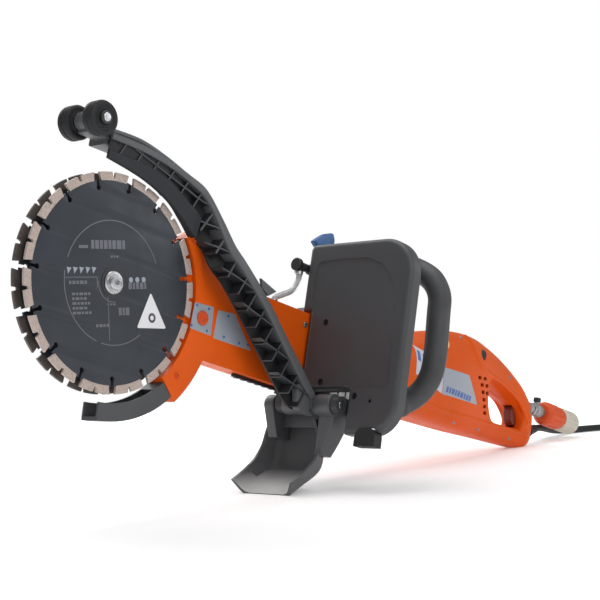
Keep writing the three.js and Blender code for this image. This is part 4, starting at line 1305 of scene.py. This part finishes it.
# ---------------------------------------------------------------- chute and hinge
# Scoop stations: back x, z, half width, then the same of the front edge.
SCOOP = [
    (331, -81, 34, 305, -81, 36), (331, -97, 36, 307, -97, 42), (331, -114, 37, 308, -112, 46),
    (330.5, -133, 37, 303, -126, 48), (322, -146, 36.5, 297, -134, 48),
    (303, -160, 36.5, 284, -147, 48), (281, -177, 36, 267, -161, 48),
]
SCOOP_MID = -8.5
SCOOP_WALL = 4
# Dust lies on the scoop's inner faces below this height.
DUST_TOP = -138
# Levels of the web down to the scoop: z, then low and high x and y.
NEAR_WEB = [
    (-62, 297, 327, -76, -52.5), (-84, 301, 331, -74, -51), (-104, 305, 331, -66, -48),
    (-122, 309, 330, -56.5, -44.5),
]


def scoop_ring(xb, zb, half_b, xf, zf, half_f):
    back, front = Vector((xb, zb)), Vector((xf, zf))
    deep = (front - back).length
    outer = [(-half_f, deep, 1.2), (-half_b, 0, 10), (half_b, 0, 10), (half_f, deep, 1.2)]
    w = SCOOP_WALL
    inner = [(half_f - w, deep, 1.2), (half_b - w, w, 7), (w - half_b, w, 7), (w - half_f, deep, 1.2)]
    pairs = [(out, SCOOP_MID + across) for across, out in eased(outer + inner)]
    return upright(back, (front - back) / deep, pairs)


def chute():
    shell = loft([scoop_ring(*station) for station in spline(SCOOP, 6)])
    cut(shell, ground_block())
    web = []
    for z, x0, x1, y0, y1 in spline(NEAR_WEB, 5):
        web.append([Vector((x, y, z)) for x, y in rounded_rect(x0, x1, y0, y1, 4)])
    knuckle = rounded(rod(13, -76, -52.5, "y", HINGE, 40), 1.2, 3)
    ear = [*arc(HINGE[0], HINGE[2], 12, -20, 200, 22), (304, -104), (331, -104), (331, -80)]
    lugs = [loft(web), knuckle, plate(ear, 10, 24, 1.4, steps=3)]
    for lug in lugs:
        cut(lug, rod(5.3, -90, 60, "y", HINGE))
    ribs = [rounded(box(313, 317, -60, 12, -90, -66), 1.2, 3)]
    for y in (-34, -17, 0, 17):
        outline = [(330.5, -84), (333.5, -88), (333.5, -110), (330.5, -118)]
        ribs.append(plate(outline, y - 1.2, y + 1.2, 0.3))
    coated(shell, CHUTE).data.materials.append(CHUTE_FLOOR)
    for face in shell.data.polygons:
        inner = face.center.z < DUST_TOP and face.normal.z > 0.4 and face.normal.x < -0.15
        face.material_index = 1 if inner else 0
    whole = merged([shell, merged(lugs + ribs, CHUTE)])
    finish(whole, "chute_scoop", None, "dark_plastic", ["debris_chute"], "chute", 40)


def pin():
    profile = [(0, -86), (4.2, -86), (5, -85.2), (5, 23.2), (4.2, 24), (0, 24)]
    finish(lathe(profile, "y", HINGE, 36), "hinge_pin_rod", DULL_STEEL, "steel", ["hinge_pin"])


# ---------------------------------------------------------------- water valve and hose
VALVE = (333, 6, 0)
HOSE_Y = 8
HOSE_AXIS = (0, HOSE_Y, 106)
ELBOW = [(300, HOSE_Y, 106), (299, HOSE_Y, 105), (299.6, HOSE_Y, 102), (300, HOSE_Y, 99)]
HOSE_ROUTE = [
    (300, HOSE_Y, 100.6), (300, HOSE_Y, 88), (292, HOSE_Y, 73), (276, HOSE_Y, 63),
    (265, HOSE_Y, 57), (262, HOSE_Y, 52), (262, HOSE_Y, 47.9),
]


def water():
    stem = [(0, 62.3), (9.5, 62.3), (9.5, 65.3), (6.6, 66.3), (6.2, 90), (7, 92), (9.6, 93), (9.6, 97)]
    stem += [(8.6, 98), (8.6, 112), (9.6, 113), (9.6, 117), (8.4, 118), (8.4, 128), (7.4, 130.6)]
    stem += [(5, 132), (0, 132)]
    nut = [(0, 100), (10.4, 100), (11, 101), (11, 109), (10.4, 110), (0, 110)]
    spigot = [(0, 297), (3.8, 297)]
    for h in (298, 302, 306, 310):
        spigot += [(4.2, h), (5.2, h + 3.2), (4.2, h + 3.4)]
    spigot += [(5, 316), (6.4, 317), (6.4, 324), (0, 324)]
    cap = [(0, 291), (7.2, 291), (8, 292), (8, 296.4), (7, 297.4), (0, 297.4)]
    whole = merged([
        lathe(stem, "z", VALVE, 40),
        lathe(nut, "z", VALVE, 6),
        lathe(spigot, "x", HOSE_AXIS, 32),
        tube(ELBOW, 5.2, 20),
        lathe(cap, "x", HOSE_AXIS, 28),
    ])
    finish(whole, "water_valve_body", BLACK, "black_plastic", ["water_valve"])
    wing = [(322, 134.6), (345, 134.6), (352, 151.5), (346.5, 161.5), (332, 156), (312.5, 141)]
    hub = [(0, 132.4), (8.2, 132.4), (8.5, 133), (8.5, 137.2), (7.8, 138), (0, 138)]
    finger = [(327, 141), (343, 142), (345, 150), (334, 149)]
    y = VALVE[1]
    lever = merged([
        plate(eased(wing, 4), y - 4, y + 4, 1.6, steps=3),
        lathe(hub, "z", VALVE, 36),
        plate(eased(finger, 2), y - 4.5, y - 3.9, 0.2),
    ])
    finish(lever, "water_lever_grip", BLUE, "blue_plastic", ["valve_lever"], "water_lever")
    finish(tube(spline(HOSE_ROUTE), 3.6, 24), "arm_hose_tube", CLEAR, "clear_hose", ["arm_hose"])
    band = [(3.7, -2.6), (4.7, -2.6), (4.7, 2.6), (3.7, 2.6), (3.7, -2.6)]
    clamps = []
    for x, z in ((300, 97), (262.2, 51)):
        lug = box(x - 7.4, x - 4.2, HOSE_Y - 1.6, HOSE_Y + 1.6, z - 2, z + 2)
        clamps += [lathe(band, "z", (x, HOSE_Y, z), 32), rounded(lug, 0.4)]
    finish(merged(clamps), "hose_clamps", STEEL, "steel")
    ferrule = [(0, 47.2), (6.2, 47.2), (6.2, 48.6), (4.2, 49.4), (0, 49.4)]
    finish(lathe(ferrule, "z", (262, HOSE_Y, 0), 6), "arm_ferrule", DULL_STEEL, "steel")


# ---------------------------------------------------------------- water inlet
INLET = Vector((823.3, -2, 40))
TAP = INLET + Vector((24, 0, 0))


def fluted(profile, flutes, depth, low, high, segments):
    """A turned shape on the inlet's axis whose skin between two heights carries soft grooves."""
    obj = lathe(profile, segments=segments)
    for v in obj.data.vertices:
        if low <= v.co.z <= high and v.co.xy.length > 4:
            wave = 0.5 - 0.5 * math.cos(math.atan2(v.co.y, v.co.x) * flutes)
            v.co.xy *= 1 - depth * wave**2 / v.co.xy.length
    obj.data.transform(Matrix.Translation(INLET) @ AXIS_TURN["x"])
    return obj


def straight(r, start, end):
    """Nine pairs along a cylinder, so that grooves in it can fade."""
    return [(r, start + (end - start) * i / 8) for i in range(9)]


def inlet():
    pipe = [(0, 0), (7.4, 0), (8, 0.8), (8, 7.2), (7.4, 8), (6, 8.6), (6, 16), (8.8, 17), (9.5, 18.4)]
    pipe += [(9.5, 30.6), (8.8, 31.8), (6.5, 33), (6.5, 39), (0, 39)]
    nut = [(0, 9), (9.6, 9), (10, 9.6), (10, 15), (9.6, 15.6), (0, 15.6)]
    whole = [lathe(pipe, "x", INLET, 40), rod(4.5, 6, 12.1, "z", TAP, 28), lathe(nut, "x", INLET, 6)]
    finish(merged(whole), "inlet_pipe", CAST, "grey_plastic", ["inlet_nipple"])
    hub = [(0, 12.4), (5, 12.4), (5.5, 13), (5.5, 18.2), (4.8, 19), (0, 19)]
    wing = rounded(box(16, 32, -1.8, 1.8, 13, 18.5), 0.8, 3)
    wing.data.transform(Matrix.Translation(INLET))
    tap = merged([lathe(hub, "z", TAP, 28), wing])
    finish(tap, "inlet_tap", BLACK, "black_plastic", ["inlet_knob"], "inlet_tap")
    profile = [(0, 39.4), (12.4, 39.4), (13, 40), (15.4, 41.4), (16.6, 43), (17.4, 46), (18, 50)]
    profile += straight(18, 52, 76)
    profile += [(17.6, 79), (16.6, 82), (16, 84), (15.4, 85.8), (8.6, 85.9), (8.6, 122.8), (8, 123)]
    profile += [(4.6, 123), (4.6, 121), (0, 121)]
    shell = fluted(profile, 8, 1.5, 49, 80, 120)
    finish(shell, "connector_shell", RED_ORANGE, "red_orange_plastic", ["quick_connector"], sharp=40)
    profile = [(9.1, 86.4), (15.6, 86.4), (16.6, 87.4), (17.5, 90), *straight(17.5, 92, 117)]
    profile += [(17.2, 119.4), (16.4, 122), (15.4, 123), (9.1, 123), (9.1, 86.4)]
    collar = fluted(profile, 20, 0.9, 89, 118, 160)
    finish(collar, "collar_grip", CREAM, "cream_plastic", ["connector_collar"], "collar", 40)


# ---------------------------------------------------------------- kept nodes
KEPT_EDGES = {
    "arm_housing": (ORANGE_PAINT, 1.6),
    "arm_cover": (ORANGE_PAINT, 0.8),
    "arc_guard": (ORANGE_PAINT, 1.8),
    "guard_tail": (DARK, 1.4),
    "arm_wear_strip": (BLACK, 0.6),
    "gear_housing": (CAST, 1.6),
    "panel_mount": (CAST, 1.0),
    "panel_foot": (TYRE, 1.6),
    "hinge_bracket": (DARK_METAL, 0.8),
    "switch_module": (BLACK, 0.6),
    "speed_electronics": (BLACK, 0.8),
}
KEPT_PLAIN = {
    STEEL: [
        "driven_pulley", "drive_pulley", "pulley_shaft", "bevel_gear", "bevel_pinion",
        "shaft_bearing_near", "shaft_bearing_far", "hub_bearing_near", "hub_bearing_far",
        "belt_tensioner", "rotor_shaft", "front_bearing", "rear_bearing",
    ],
    TYRE: ["drive_belt"],
    BLACK: ["fan"],
    IRON: ["rotor_core", "stator"],
    COPPER: ["commutator"],
    CARBON: ["carbon_brush_near", "carbon_brush_far"],
}


def kept_nodes():
    for name, (material, edge) in KEPT_EDGES.items():
        node = coated(bpy.data.objects[name], material)
        flats = node.modifiers.new("flats", "DECIMATE")
        flats.decimate_type = "DISSOLVE"
        flats.angle_limit = math.radians(1)
        bevel = node.modifiers.new("bevel", "BEVEL")
        bevel.width = edge * 0.001
        bevel.segments = 3
        bevel.limit_method = "ANGLE"
        bevel.angle_limit = math.radians(34)
        bevel.use_clamp_overlap = True
        smooth_shaded(node.data, 30)
    for material, names in KEPT_PLAIN.items():
        for name in names:
            smooth_shaded(coated(bpy.data.objects[name], material).data, 30)


blades()
arm_details()
guard()
splash_panel()
front_handle()
SKIN = body()
body_label(SKIN, -1, "label_near")
body_label(SKIN, 1, "label_far")
body_fittings(SKIN)
vent_floors()
gear_details()
chute()
pin()
water()
inlet()
kept_nodes()


# ---------------------------------------------------------------- floor and light
FLOOR_R = 1.6
# Where the floor starts and ends its fade to white, in metres from the middle.
FLOOR_FADE = (0.5, 1.3)


def floor():
    """A plain pale disc that fades into the studio's white."""
    obj = solid([(x, y, 0) for x, y in arc(0, 0, FLOOR_R, 0, 358, 179)], [tuple(range(180))])
    obj.name = "floor"
    pale = Finish("floor", (0.94, 0.94, 0.94), 0.75, specular=0.05).mottle(2, 0.01)
    pale.put("Emission Color", (1, 1, 1, 1))
    away = add_node(pale.tree, "VectorMath", Vector=pale.place)
    away.operation = "LENGTH"
    pale.ranged(away.outputs["Value"], FLOOR_FADE, 0.2, 0.8, "Emission Strength")
    coated(obj, pale.m)
    obj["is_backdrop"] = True


def studio_world():
    """A white surround behind the object; as a light it is softer overhead than at the horizon."""
    world = bpy.data.worlds.new("studio")
    world.use_nodes = True
    tree = world.node_tree
    direction = add_node(tree, "TexCoord").outputs["Generated"]
    height = add_node(tree, "SeparateXYZ", Vector=direction).outputs["Z"]
    tint = color_ramp(tree, height, (0.42, 0.42, 0.42), (0.30, 0.30, 0.31), 0.10, 0.7)
    soft = tree.nodes["Background"]
    tree.links.new(tint, soft.inputs["Color"])
    white = add_node(tree, "Background", Color=(1, 1, 1, 1))
    mix = add_node(tree, "MixShader", Fac=add_node(tree, "LightPath").outputs["Is Camera Ray"])
    tree.links.new(soft.outputs["Background"], mix.inputs[1])
    tree.links.new(white.outputs["Background"], mix.inputs[2])
    tree.links.new(mix.outputs["Shader"], tree.nodes["World Output"].inputs["Surface"])
    bpy.context.scene.world = world


# Softboxes: name, place, diameter in metres, power in watts.
LIGHTS = [
    ("key", (-0.6, -1.7, 1.6), 1.0, 12),
    ("top", (0.1, 0.2, 1.8), 1.6, 16),
    ("side", (1.5, -1.3, 0.9), 1.0, 5),
    ("back", (0.3, 1.6, 1.3), 1.2, 15),
]


def studio():
    studio_world()
    bpy.context.scene.view_settings.view_transform = "Standard"
    for name, place, size, power in LIGHTS:
        data = bpy.data.lights.new(name, "AREA")
        data.shape = "DISK"
        data.size = size
        data.energy = power
        light = linked(name, data)
        light.location = place
        aim = Vector((0, 0, 0.2)) - Vector(place)
        light.rotation_euler = aim.to_track_quat("-Z", "Y").to_euler()


floor()
studio()

VISUAL_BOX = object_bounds()
boxes = {"cad": CAD_BOX, "visual": VISUAL_BOX}
{k: [list(map(float, corner)) for corner in box_] for k, box_ in boxes.items()}
